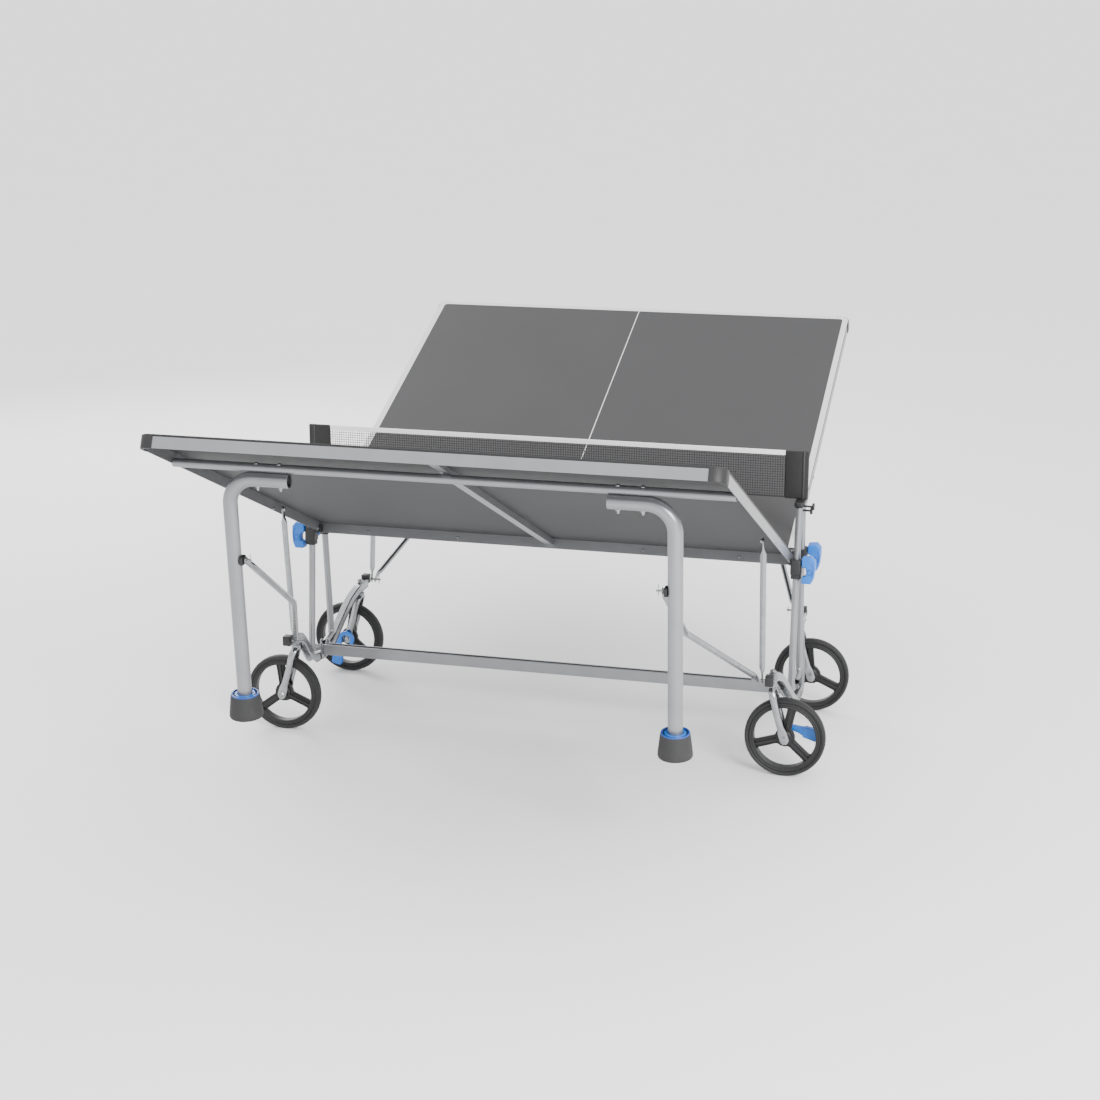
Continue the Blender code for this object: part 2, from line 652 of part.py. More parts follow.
def build_end(end, chassis):
    """Everything that belongs to one end of the table."""
    flip = end == "far"
    end_frame = empty(f"{end}_end", chassis, rotation=(0, 0, pi if flip else 0))
    angle = FOLD_ANGLES[end]
    hinge = hinge_at(angle)
    slide_frame = empty(f"{end}_slide_axis", end_frame, hinge, (-atan(POST_LEAN), 0, 0))
    fold = empty(f"{end}_fold_axis", end_frame, hinge, (-angle, 0, 0))
    leg_pivot = on_half(hinge, angle, CROSS_TUBE_OUT, -CROSS_TUBE_DROP)
    leg_frame = empty(f"{end}_leg_axis", end_frame, leg_pivot, (LEG_LEAN, 0, 0))
    link_top = on_half(hinge, angle, LINK_TOP_OUT, 0.0)
    strut_pivot = leg_pivot + Vector((0, sin(LEG_LEAN), -cos(LEG_LEAN))) * STRUT_PIVOT_DROP
    chassis_pivot = Vector((0, CHASSIS_PIVOT_Y, CHASSIS_PIVOT_Z))
    build_top(end, fold)
    build_apron(end, fold)
    build_centre_brace(end, fold)
    build_cross_tube(end, leg_frame)
    for hand in (-1, 1):
        left = (hand < 0) != flip
        where = f"{end}_{'left' if left else 'right'}"
        build_corner_cap(f"{where}_corner_cap", hand, fold)
        build_leg(f"{where}_leg", hand, leg_frame)
        build_foot(f"{where}_foot", hand, leg_frame)
        build_link(f"{where}_link", hand, end_frame, link_top, chassis_pivot)
        build_strut(f"{where}_strut", hand, end_frame, strut_pivot, chassis_pivot)
        build_post(f"{where}_post", hand, end_frame)
        build_slide_block(f"{where}_slide_block", hand, slide_frame)
        build_lock_handle(f"{where}_lock_handle", hand, slide_frame)
        build_arm(f"{where}_arm", hand, end_frame)
        swivel = empty(f"{where}_swivel_axis", end_frame, (hand * SWIVEL_X, SWIVEL_Y, 0))
        build_fork(f"{where}_fork", hand, swivel)
        axle = (hand * TRAIL, 0, WHEEL_CENTRE_Z)
        build_wheel(f"{where}_wheel", empty(f"{where}_axle_axis", swivel, axle))
        if where == "near_right":
            build_brake("near_right_brake", 1, radians(-8), swivel, axle)
        if where == "far_left":
            build_brake("far_left_brake", 1, radians(-75), swivel, axle)


def main():
    clear_scene()
    chassis = empty("chassis")
    build_rail(chassis)
    build_net(chassis)
    for end in ("near", "far"):
        build_end(end, chassis)


main()
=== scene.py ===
"""Wheeled folding table-tennis table with both halves part folded: its finishes, fittings and net.

Everything is in metres. Each end of the table is built in the near end's own frames, where +Y points to
the net, and the far end repeats it turned half a turn. hand is -1 or 1 for the two sides of an end.
"""

import json
from math import atan, cos, hypot, pi, radians, sin, sqrt, tan

import bmesh
import bpy
from mathutils import Matrix, Vector


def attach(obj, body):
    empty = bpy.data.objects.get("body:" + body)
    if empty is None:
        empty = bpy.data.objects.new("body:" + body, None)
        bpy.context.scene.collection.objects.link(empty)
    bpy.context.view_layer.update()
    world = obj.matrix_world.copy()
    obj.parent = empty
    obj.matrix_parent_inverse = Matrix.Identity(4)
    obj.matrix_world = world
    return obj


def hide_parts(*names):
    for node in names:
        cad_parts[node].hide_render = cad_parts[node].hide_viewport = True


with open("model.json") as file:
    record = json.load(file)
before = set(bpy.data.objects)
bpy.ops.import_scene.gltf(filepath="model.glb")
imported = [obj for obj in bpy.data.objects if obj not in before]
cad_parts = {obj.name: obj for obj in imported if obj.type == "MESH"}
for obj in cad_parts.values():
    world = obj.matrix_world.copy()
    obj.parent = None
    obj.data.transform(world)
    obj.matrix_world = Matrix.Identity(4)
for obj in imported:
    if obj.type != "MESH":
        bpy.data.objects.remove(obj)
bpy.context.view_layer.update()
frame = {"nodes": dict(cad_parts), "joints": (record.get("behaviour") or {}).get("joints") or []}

# Playing halves
HALF_WIDTH = 0.7625
INNER_EDGE = 0.040
OUTER_EDGE = INNER_EDGE - 1.370
SURFACE = 0.031
BOARD_THICK = 0.006
APRON_LOW = -0.006
CORNER_RADIUS = 0.030
LINE_WIDTH = 0.020
CENTRE_LINE = 0.003
LINE_CORNER = 0.012
BRACE_OUTER_END = -1.0945

# Legs and bars
CROSS_RADIUS = 0.012
LEG_RADIUS = 0.020
LEG_X = 0.605
LEG_INNER_END = 0.431
LEG_BEND = 0.075
LEG_LEAN = radians(4.5)
FOOT_DROP = 0.7265
FOOT_FLOOR = 0.010
LEG_BOLTS_X = (0.457, 0.522)
STRUT_DROP = 0.265
TUBE_WALL = 0.0015
BAR_RADIUS = 0.009
EYE_WIDTH = 0.010
EYE_THICK = 0.0022
EYE_LENGTH = 0.028
EYE_TAPER = 0.026
STRUT_TOP_X = 0.572
STRUT_LOWER_X = 0.717
LINK_X = 0.730
LINK_TOP_OUT = 0.377
CHASSIS_PIVOT = Vector((0, -0.356, 0.313))

# Chassis
POST_X = 0.780
POST_RADIUS = 0.0105
POST_TOP_Z = 0.7620
POST_LEAN = 0.0920
POST_Y_AT_FLOOR = -0.1070
RAIL_LOW, RAIL_HIGH = 0.154, 0.189
RAIL_HALF_DEPTH = 0.0125
ARM_TIP_Z = 0.303
SWIVEL = Vector((0.752, -0.295, 0))
TRAIL = 0.042
WHEEL_RADIUS = 0.1215 * cos(pi / 36)
RIM_RADIUS = 0.1000
WINDOW_RADIUS = 0.0925
HALF_SPOKE = 0.0105
BRAKE_HOOK = (0.0285, 0.0150)
BRAKE_SIDE = 0.0362
FORK_SIDE = 0.025
FORK_EYE = (0.0135, 0.0022)
FORK_TUBE = (0.0105, 0.0062)
FORK_EYE_LENGTH, FORK_TAPER = 0.034, 0.022
LOCK_X = 0.8065

# Net
NET_X = 0.7285
NET_LOW, NET_HIGH = 0.779, 0.922
CLAMP_Z = 0.7690
MESH_PITCH = 0.0075
CORD_WIDTH = 0.0017

STILL = Matrix.Identity(4)
UPRIGHT = Matrix.Rotation(pi / 2, 4, "X")
SIDEWAYS = Matrix.Rotation(pi / 2, 4, "Y")


# ---------------------------------------------------------------- finishes

def colour(code):
    """An sRGB hex colour as linear RGBA."""
    channels = [int(code[i:i + 2], 16) / 255 for i in (1, 3, 5)]
    return (*[c / 12.92 if c <= 0.04045 else ((c + 0.055) / 1.055) ** 2.4 for c in channels], 1.0)


def add(tree, kind, inputs, **settings):
    """Adds a node, sets its properties, and sets or links its inputs."""
    made = tree.nodes.new(kind)
    for key, value in settings.items():
        setattr(made, key, value)
    for key, value in inputs.items():
        if isinstance(value, bpy.types.NodeSocket):
            tree.links.new(value, made.inputs[key])
        else:
            made.inputs[key].default_value = value
    return made


def surface(name, light, dark, patch_mm, roughness, grain_mm, grain_depth_mm, metallic=0.0, **sockets):
    """A finish whose colour drifts in patches and whose skin has a fine grain, both sized in millimetres."""
    finish = bpy.data.materials.new(name)
    finish.use_nodes = True
    tree = finish.node_tree
    shader = tree.nodes["Principled BSDF"]
    place = add(tree, "ShaderNodeTexCoord", {}).outputs["Object"]
    patch = add(tree, "ShaderNodeTexNoise", {"Vector": place, "Scale": 1000 / patch_mm, "Detail": 3.0})
    grain = add(tree, "ShaderNodeTexNoise", {"Vector": place, "Scale": 1000 / grain_mm, "Detail": 2.0})
    tone = add(tree, "ShaderNodeMix", {0: patch.outputs["Fac"], 6: colour(dark), 7: colour(light)},
               data_type="RGBA")
    rough = add(tree, "ShaderNodeMapRange", {"Value": grain.outputs["Fac"], "From Min": 0.3, "From Max": 0.7,
                                             "To Min": roughness[0], "To Max": roughness[1]})
    bump = add(tree, "ShaderNodeBump", {"Height": grain.outputs["Fac"], "Distance": grain_depth_mm / 1000,
                                        "Strength": 1.0})
    tree.links.new(tone.outputs[2], shader.inputs["Base Color"])
    tree.links.new(rough.outputs["Result"], shader.inputs["Roughness"])
    tree.links.new(bump.outputs["Normal"], shader.inputs["Normal"])
    shader.inputs["Metallic"].default_value = metallic
    for key, value in sockets.items():
        shader.inputs[key.replace("_", " ")].default_value = value
    return finish


def silver_powder_coat():
    """Powder coat with fine aluminium flake, baked on: satin, with the faint dimples of orange peel."""
    return surface("silver_powder_coat", "#939497", "#838487", 90, (0.28, 0.37), 1.6, 0.05, metallic=0.70)


def zinc_plate():
    """Bright zinc on bent and pressed steel: a cool metal with cloudy patches and softened reflections."""
    return surface("zinc_plate", "#A9ABAD", "#85878A", 25, (0.20, 0.32), 0.9, 0.04, metallic=1.0)


def black_nylon():
    """Glass-filled nylon from a spark-eroded mould: near black, with a matt grain that breaks highlights."""
    return surface("black_nylon", "#18181A", "#121213", 30, (0.48, 0.62), 0.8, 0.06)


def blue_abs():
    """Self-coloured ABS with a light texture: a clear mid blue with broad soft highlights."""
    return surface("blue_abs", "#0F6AC6", "#0B5FB6", 40, (0.36, 0.46), 0.9, 0.03)


def shaded_blue_abs():
    """The same moulding darkened as painted shade, for where it lies in shade: the ring of a foot and the
    marks on a grip.
    """
    return surface("shaded_blue_abs", "#08479C", "#063D8A", 30, (0.38, 0.48), 0.9, 0.03)


def foot_rubber():
    """Moulded rubber: charcoal and dull, with a slightly uneven bloom."""
    return surface("foot_rubber", "#2B2B2C", "#222223", 35, (0.66, 0.80), 1.2, 0.08)


def wheel_polypropylene():
    """Injection-moulded polypropylene: black with a waxy sheen along its ribs."""
    return surface("wheel_polypropylene", "#0F0F10", "#0B0B0C", 40, (0.40, 0.52), 1.0, 0.04)


def tyre_elastomer():
    """Thermoplastic elastomer tread: a shade greyer and duller than the wheel it is moulded on."""
    return surface("tyre_elastomer", "#151516", "#101011", 30, (0.58, 0.72), 1.4, 0.10)


def board_back():
    """Balancing sheet on the underside of a half: even mid grey with a slight drift in tone."""
    return surface("board_back", "#3B3C3D", "#323334", 260, (0.56, 0.68), 1.8, 0.04,
                   Specular_IOR_Level=0.3)


def board_edge():
    """Sealed black edge of the laminate."""
    return surface("board_edge", "#151516", "#101011", 40, (0.42, 0.54), 1.0, 0.03)


def net_polyester():
    """Black polyester cord: dull, with lighter fibres here and there."""
    return surface("net_polyester", "#2A2A2B", "#1B1B1C", 6, (0.70, 0.85), 0.5, 0.05)


def playing_laminate():
    """Melamine laminate with screen-printed lines: matt mid grey, and a finely pebbled skin for the ball."""
    finish = surface("playing_laminate", "#414142", "#3D3D3E", 300, (0.62, 0.72), 1.5, 0.06,
                     Specular_IOR_Level=0.2)
    tree = finish.node_tree
    shader = tree.nodes["Principled BSDF"]
    base = shader.inputs["Base Color"].links[0].from_socket

    def calculated(operation, first, second=0.0):
        return add(tree, "ShaderNodeMath", {0: first, 1: second}, operation=operation).outputs[0]

    place = add(tree, "ShaderNodeTexCoord", {}).outputs["Object"]
    axes = add(tree, "ShaderNodeSeparateXYZ", {0: place})
    across = calculated("ABSOLUTE", axes.outputs["X"])
    beside = calculated("SUBTRACT", across, HALF_WIDTH - LINE_WIDTH - LINE_CORNER)
    beyond = calculated("SUBTRACT", OUTER_EDGE + LINE_WIDTH + LINE_CORNER, axes.outputs["Y"])
    reach = add(tree, "ShaderNodeCombineXYZ", {0: calculated("MAXIMUM", beside),
                                               1: calculated("MAXIMUM", beyond)})
    reach = add(tree, "ShaderNodeVectorMath", {0: reach.outputs[0]}, operation="LENGTH")
    border = calculated("GREATER_THAN", reach.outputs["Value"], LINE_CORNER)
    centre = calculated("LESS_THAN", across, CENTRE_LINE / 2)
    printed = add(tree, "ShaderNodeMix", {0: calculated("MAXIMUM", border, centre), 6: base,
                                          7: colour("#D0D0D0")}, data_type="RGBA")
    tree.links.new(printed.outputs[2], shader.inputs["Base Color"])
    return finish


def woven(finish, kind, pattern, depth, strength, **settings):
    """Gives a finish the raised threads of a cloth in place of its grain."""
    tree = finish.node_tree
    place = add(tree, "ShaderNodeTexCoord", {}).outputs["Object"]
    weave = add(tree, kind, {"Vector": place, **pattern}, **settings)
    bump = add(tree, "ShaderNodeBump", {"Height": weave.outputs["Fac"], "Distance": depth,
                                        "Strength": strength})
    tree.links.new(bump.outputs["Normal"], tree.nodes["Principled BSDF"].inputs["Normal"])
    return finish


def white_tape():
    """Woven cotton tape on the net's top edge: off-white, with threads 1.6 mm apart."""
    finish = surface("white_tape", "#EDEDEC", "#E2E2E1", 12, (0.75, 0.88), 0.8, 0.05)
    return woven(finish, "ShaderNodeTexWave", {"Scale": pi / 10 / 0.0016, "Distortion": 0.4}, 0.0002, 0.6,
                 wave_type="BANDS", bands_direction="DIAGONAL")


def sleeve_cloth():
    """Coated nylon pocket over a net post: black cloth with threads 1.2 mm apart."""
    finish = surface("sleeve_cloth", "#171718", "#111112", 14, (0.55, 0.70), 0.9, 0.05)
    return woven(finish, "ShaderNodeTexChecker", {"Scale": 1 / 0.0012}, 0.0001, 0.5)


# Each finish with the record's slot that it belongs to
FINISHES = {
    "silver": (silver_powder_coat(), "silver_paint"),
    "bar": (zinc_plate(), "bar_steel"),
    "black": (black_nylon(), "black_plastic"),
    "blue": (blue_abs(), "blue_plastic"),
    # The blue ABS darkened as painted shade, for the foot's outer ring and the grip's marks
    "shaded blue": (shaded_blue_abs(), "blue_plastic"),
    "rubber": (foot_rubber(), "foot_rubber"),
    "wheel": (wheel_polypropylene(), "wheel_plastic"),
    "tyre": (tyre_elastomer(), "wheel_plastic"),
    "laminate": (playing_laminate(), "top_laminate"),
    "back": (board_back(), "top_laminate"),
    "edge": (board_edge(), "top_laminate"),
    "cord": (net_polyester(), "net_cord"),
    "tape": (white_tape(), "net_cord"),
    "sleeve": (sleeve_cloth(), "net_cord"),
}
FINISHES["zinc"] = (FINISHES["bar"][0], "zinc_steel")


# ---------------------------------------------------------------- shapes

def bridge(shape, rings, closed=False):
    """Joins each ring of points to the next with quads."""
    pairs = list(zip(rings, rings[1:]))
    if closed:
        pairs.append((rings[-1], rings[0]))
    for first, second in pairs:
        for i in range(len(first)):
            j = (i + 1) % len(first)
            shape.faces.new((first[i], first[j], second[j], second[i]))


def lofted(rings):
    """A closed body through rings of points, with a flat face on the first and the last."""
    shape = bmesh.new()
    rings = [[shape.verts.new(point) for point in ring] for ring in rings]
    bridge(shape, rings)
    shape.faces.new(rings[0])
    shape.faces.new(reversed(rings[-1]))
    return shape


def arc(centre, radius, start, end, steps):
    angles = [start + (end - start) * i / steps for i in range(steps + 1)]
    return [(centre[0] + radius * cos(a), centre[1] + radius * sin(a)) for a in angles]


def rounded_path(corners, radius, steps):
    """A polyline whose inner corners are turned on arcs of one radius."""
    points = [Vector(corners[0])]
    for before, corner, after in zip(corners, corners[1:], corners[2:]):
        corner = Vector(corner)
        back = (Vector(before) - corner).normalized()
        ahead = (Vector(after) - corner).normalized()
        half_turn = (pi - back.angle(ahead)) / 2
        reach = radius * tan(half_turn)
        middle = corner + (back + ahead).normalized() * hypot(radius, reach)
        start = corner + back * reach - middle
        end = corner + ahead * reach - middle
        for i in range(steps + 1):
            share = i / steps
            spoke = start * sin((1 - share) * 2 * half_turn) + end * sin(share * 2 * half_turn)
            points.append(middle + spoke / sin(2 * half_turn))
    points.append(Vector(corners[-1]))
    return points


def rounded_outline(corners, radius, steps=4):
    """A closed flat outline with every corner turned on one radius."""
    flat = [Vector((*c, 0)) for c in corners]
    start = (flat[-1] + flat[0]) / 2
    path = rounded_path([start, *flat, start], radius, steps)
    return [(p.x, p.y) for p in path[:-1]]


def rectangle(low, high, radius):
    """A rounded rectangle between two opposite corners."""
    return rounded_outline([low, (high[0], low[1]), high, (low[0], high[1])], radius)


def smooth_path(anchors, steps):
    """A Catmull-Rom curve through the anchors."""
    spots = [Vector(a) for a in anchors]
    spots = [spots[0] * 2 - spots[1]] + spots + [spots[-1] * 2 - spots[-2]]
    points = []
    for a, b, c, d in zip(spots, spots[1:], spots[2:], spots[3:]):
        for i in range(steps):
            t = i / steps
            points.append(0.5 * (2 * b + (c - a) * t + (2 * a - 5 * b + 4 * c - d) * t**2
                                 + (3 * b - a - 3 * c + d) * t**3))
    points.append(spots[-2])
    return points


def length_of(points):
    return sum((b - a).length for a, b in zip(points, points[1:]))


def stationed(points, distances):
    """Points on a polyline at the given distances from its start."""
    found = []
    for distance in distances:
        left = distance
        for a, b in zip(points, points[1:]):
            step = (b - a).length
            if left <= step or b is points[-1]:
                found.append(a.lerp(b, left / step))
                break
            left -= step
    return found


def frames_along(points, side):
    """Each point of a path with the two axes across it, the first near side."""
    last = len(points) - 1
    for i, point in enumerate(points):
        along = (points[min(i + 1, last)] - points[max(i - 1, 0)]).normalized()
        up = along.cross(side).normalized()
        yield point, up.cross(along).normalized(), up


def swept(points, sections, side=Vector((1, 0, 0))):
    """A closed body along a path: one flat section for each point, its first axis near side."""
    return lofted([[point + across * a + up * b for a, b in section]
                   for (point, across, up), section in zip(frames_along(points, side), sections)])


def oval(half_a, half_b, sides=24):
    return [(half_a * cos(2 * pi * i / sides), half_b * sin(2 * pi * i / sides)) for i in range(sides)]


def pipe(points, radius, wall, side=Vector((1, 0, 0)), sides=32):
    """An open tube with an outer and an inner skin, and lips at both ends."""
    shape = bmesh.new()
    skins = []
    for skin_radius in (radius, radius - wall):
        circle = oval(skin_radius, skin_radius, sides)
        rings = [[shape.verts.new(point + across * a + up * b) for a, b in circle]
                 for point, across, up in frames_along(points, side)]
        bridge(shape, rings)
        skins.append(rings)
    bridge(shape, [skins[0][0], skins[1][0]])
    bridge(shape, [skins[0][-1], skins[1][-1]])
    return shape


def turned(profile, sides=48, ring=False):
    """A body of revolution about Z from (radius, height) points: a ring, or closed by a disc at each end."""
    rings = [[(r * cos(2 * pi * i / sides), r * sin(2 * pi * i / sides), z) for i in range(sides)]
             for r, z in profile]
    if not ring:
        return lofted(rings)
    shape = bmesh.new()
    bridge(shape, [[shape.verts.new(point) for point in level] for level in rings], closed=True)
    return shape


def block(low, high):
    """A box between two opposite corners."""
    shape = bmesh.new()
    size = Vector(high) - Vector(low)
    middle = (Vector(high) + Vector(low)) / 2
    bmesh.ops.create_cube(shape, size=1.0, matrix=Matrix.Translation(middle) @ Matrix.Diagonal((*size, 1)))
    return shape


def plate(outlines, thick, bevel):
    """A flat plate in XY, centred on Z, from an outer outline and the outlines of its openings."""
    curve = bpy.data.curves.new("plate", "CURVE")
    curve.dimensions = "2D"
    curve.fill_mode = "BOTH"
    curve.extrude = thick / 2 - bevel
    curve.bevel_depth = bevel
    curve.bevel_resolution = 2
    curve.offset = -bevel
    for outline in outlines:
        spline = curve.splines.new("POLY")
        spline.points.add(len(outline) - 1)
        spline.use_cyclic_u = True
        for point, (x, y) in zip(spline.points, outline):
            point.co = (x, y, 0, 1)
    holder = bpy.data.objects.new("plate", curve)
    shape = bmesh.new()
    shape.from_mesh(holder.to_mesh())
    bmesh.ops.remove_doubles(shape, verts=shape.verts, dist=0.00001)
    bpy.data.objects.remove(holder)
    bpy.data.curves.remove(curve)
    return shape


def merged(*placed):
    """Several shapes in one, each (shape, matrix)."""
    whole = bmesh.new()
    for shape, matrix in placed:
        mesh = bpy.data.meshes.new("part")
        shape.transform(matrix)
        shape.to_mesh(mesh)
        shape.free()
        whole.from_mesh(mesh)
        bpy.data.meshes.remove(mesh)
    return whole


def facing(at, direction):
    """A frame at a point whose Z runs along a direction."""
    turn = Vector((0, 0, 1)).rotation_difference(Vector(direction)).to_matrix().to_4x4()
    return Matrix.Translation(at) @ turn


def hexagon_bolt(radius=0.0065):
    """A hexagon head with a chamfered crown, on a round washer."""
    head = turned([(radius, 0.0012), (radius, 0.0046), (radius * 0.84, 0.0056)], sides=6)
    washer = turned([(radius * 1.35, 0), (radius * 1.35, 0.0010), (radius * 1.28, 0.0013)], sides=24)
    return merged((head, STILL), (washer, STILL))


def dome_bolt(radius=0.006):
    """A round head, domed, on a thin washer."""
    dome = [(radius * 1.25, 0), (radius * 1.25, 0.0010)]
    dome += [(radius * cos(a), 0.0010 + radius * 0.62 * sin(a)) for a in (0, 0.3, 0.6, 0.9, 1.2, 1.45)]
    return turned(dome, sides=24)


def piece(name, shape, finish, body, place=STILL, replaces=(), bevel=0.0):
    """One piece in its place, with its finish, riding on a body and standing for CAD nodes."""
    material, slot = FINISHES[finish]
    bmesh.ops.recalc_face_normals(shape, faces=shape.faces)
    mesh = bpy.data.meshes.new(name)
    shape.to_mesh(mesh)
    shape.free()
    mesh.shade_smooth()
    mesh.set_sharp_from_angle(angle=radians(38))
    mesh.materials.append(material)
    item = bpy.data.objects.new(name, mesh)
    bpy.context.scene.collection.objects.link(item)
    item.matrix_world = place
    if bevel:
        modifier = item.modifiers.new("edge", "BEVEL")
        modifier.width = bevel
        modifier.segments = 3
        modifier.limit_method = "ANGLE"
        modifier.angle_limit = radians(38)
    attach(item, body)
    if replaces:
        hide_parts(*replaces)
    return item


# ---------------------------------------------------------------- the two halves

def half_outline(grow=0.0, steps=12):
    """Plan of a half: square at the net edge, round at the two outer corners."""
    wide = HALF_WIDTH + grow
    outer = OUTER_EDGE - grow
    radius = CORNER_RADIUS + grow
    left = arc((-wide + radius, outer + radius), radius, pi, 1.5 * pi, steps)
    right = arc((wide - radius, outer + radius), radius, -0.5 * pi, 0, steps)
    return left + right + [(wide, INNER_EDGE + grow), (-wide, INNER_EDGE + grow)]


def build_board(end, half):
    """The playing board: printed face, dark edge and grey back, as one slab with softened edges."""
    soft = 0.0008
    levels = [(-soft, SURFACE - BOARD_THICK), (0, SURFACE - BOARD_THICK + soft),
              (0, SURFACE - soft), (-soft, SURFACE)]
    shape = lofted([[(x, y, z) for x, y in half_outline(grow)] for grow, z in levels])
    *sides, low, high = shape.faces
    for face in sides:
        face.material_index = 1
    low.material_index = 2
    high.material_index = 0
    board = piece(f"{end}_board", shape, "laminate", f"{end}_half", half, [f"{end}_playing_top"])
    for name in ("edge", "back"):
        board.data.materials.append(FINISHES[name][0])


def build_corner(name, hand, body, half, node):
    """A moulded corner guard: a wall round the apron and the board's edge, lipped under the apron."""
    skin, lip = 0.0024, 0.007
    section = [(0.0003, SURFACE - 0.0012), (skin * 0.6, SURFACE - 0.0008), (skin, SURFACE - 0.0026),
               (skin, APRON_LOW), (skin * 0.4, APRON_LOW - 0.0014), (-lip, APRON_LOW - 0.0014),
               (-lip, APRON_LOW - 0.0003), (0.0003, APRON_LOW - 0.0003)]
    rings = []
    radius = CORNER_RADIUS
    centre = (HALF_WIDTH - radius, OUTER_EDGE + radius)
    plan = [(HALF_WIDTH - 0.040, OUTER_EDGE, -0.5 * pi)]
    plan += [(*centre, angle) for angle in [-0.5 * pi + i * pi / 24 for i in range(13)]]
    plan.append((HALF_WIDTH, OUTER_EDGE + 0.052, 0.0))
    for i, (x, y, angle) in enumerate(plan):
        on_arc = radius if 0 < i < len(plan) - 1 else 0.0
        rings.append([(hand * (x + (on_arc + grow) * cos(angle)), y + (on_arc + grow) * sin(angle), z)
                      for grow, z in section])
    piece(name, lofted(rings), "black", body, half, [node], bevel=0.0004)


def build_brace(end, half):
    """The folded channel down the middle of the underside, open to the board, and its tongue to the apron."""
    wide, low, high, wall = 0.0125, 0.005, 0.0245, 0.0018
    start = BRACE_OUTER_END
    section = [(-wide, high), (-wide, low), (wide, low), (wide, high), (wide - wall, high),
               (wide - wall, low + wall), (-wide + wall, low + wall), (-wide + wall, high)]
    channel = lofted([[(x, y, z) for x, z in section] for y in (start, INNER_EDGE - 0.003)])
    stop = block((-wide + wall, start, low + wall), (wide - wall, start + wall, high))
    tongue = block((-wide, OUTER_EDGE + 0.0025, 0.0125), (wide, start, high))
    brace = merged((channel, STILL), (stop, STILL), (tongue, STILL))
    piece(f"{end}_brace_channel", brace, "silver", f"{end}_half", half, [f"{end}_centre_brace"])


def build_half_fittings(end, half):
    """Hinge caps on the inner ends of the side aprons, and the screws through the apron."""
    body = f"{end}_half"
    caps = []
    screws = []
    for hand in (-1, 1):
        x = hand * (HALF_WIDTH - 0.0035)
        low_x, high_x = sorted((x - 0.0045 * hand, x + 0.0022 * hand))
        caps.append((block((low_x, 0.018, APRON_LOW - 0.002), (high_x, INNER_EDGE + 0.001, 0.020)), STILL))
        inner = hand * (HALF_WIDTH - 0.0022)
        for y, z in ((0.010, 0.004), (-LINK_TOP_OUT, 0.0), (-1.030, 0.010)):
            screws.append((dome_bolt(0.0045), facing((inner, y, z), (-hand, 0, 0))))
        screws.append((dome_bolt(0.0045), facing((hand * HALF_WIDTH, -LINK_TOP_OUT, 0.0), (hand, 0, 0))))
    for x in (-0.60, -0.30, 0.0, 0.30, 0.60):
        screws.append((dome_bolt(0.0032), facing((x, INNER_EDGE - 0.0022, 0.008), (0, -1, 0))))
    piece(f"{end}_hinge_end_caps", merged(*caps), "black", body, half, bevel=0.0022)
    piece(f"{end}_apron_screws", merged(*screws), "zinc", body, half)


# ---------------------------------------------------------------- legs, struts and links

def build_leg(name, hand, body, legs, node):
    """A bent tube hung under the cross tube, with a plug in its open end and two bolts through both tubes."""
    under = -(CROSS_RADIUS + LEG_RADIUS + 0.0003)
    bottom = -FOOT_DROP + FOOT_FLOOR + 0.0003
    corners = [(hand * LEG_INNER_END, 0, under), (hand * LEG_X, 0, under), (hand * LEG_X, 0, bottom)]
    route = rounded_path(corners, LEG_BEND, 16)
    piece(name + "_tube", pipe(route, LEG_RADIUS, TUBE_WALL, Vector((0, 1, 0))), "silver", body, legs, [node])
    bore = LEG_RADIUS - TUBE_WALL - 0.0001
    plug = turned([(bore, -0.020), (bore, -0.0030), (bore * 0.80, -0.0018), (bore * 0.76, -0.0060)], 32)
    mouth = facing((hand * LEG_INNER_END, 0, under), (-hand, 0, 0))
    piece(name + "_end_plug", plug, "black", body, legs @ mouth)
    heads = []
    for x in LEG_BOLTS_X:
        heads.append((dome_bolt(0.0058), facing((hand * x, 0, CROSS_RADIUS - 0.0010), (0, 0, 1))))
        heads.append((hexagon_bolt(0.0062), facing((hand * x, 0, under - LEG_RADIUS + 0.0012), (0, 0, -1))))
        heads.append((turned([(0.0032, 0.004), (0.0032, 0.010), (0.0024, 0.0115)], 16),
                      facing((hand * x, 0, under - LEG_RADIUS), (0, 0, -1))))
    piece(name + "_bolts", merged(*heads), "zinc", body, legs)


def build_strut_bracket(name, hand, body, legs):
    """The rounded black ear on a leg that a strut hangs from, with its pin and spring clip."""
    ear = plate([rectangle((-0.013, -0.016), (0.013, 0.016), 0.009)], 0.009, 0.0018)
    x = hand * (LEG_X - LEG_RADIUS - 0.0035)
    piece(name + "_strut_ear", ear, "black", body, legs @ Matrix.Translation((x, 0, -STRUT_DROP)) @ SIDEWAYS)
    pin = turned([(0.0055, 0), (0.0055, 0.0024), (0.0030, 0.0026), (0.0030, 0.030), (0.0022, 0.031)], 16)
    start = hand * (LEG_X - LEG_RADIUS + 0.001)
    whole = merged((pin, facing((start, 0, -STRUT_DROP), (-hand, 0, 0))),
                   (pin_clip(), Matrix.Translation((start - hand * 0.0260, 0, -STRUT_DROP))))
    piece(name + "_strut_pin", whole, "zinc", body, legs)


def pin_clip():
    """A spring clip through a pin: a straight leg, a loop and a bowed leg of 1.6 mm wire, in the YZ plane."""
    wire = [(0, 0, -0.014), (0, 0, 0.010), (0, 0.0035, 0.0155), (0, 0.0075, 0.012), (0, 0.0060, 0.006),
            (0, 0.0040, 0.001), (0, 0.0065, -0.006), (0, 0.0085, -0.012)]
    route = smooth_path(wire, 5)
    return swept(route, [oval(0.0008, 0.0008, 8)] * len(route))


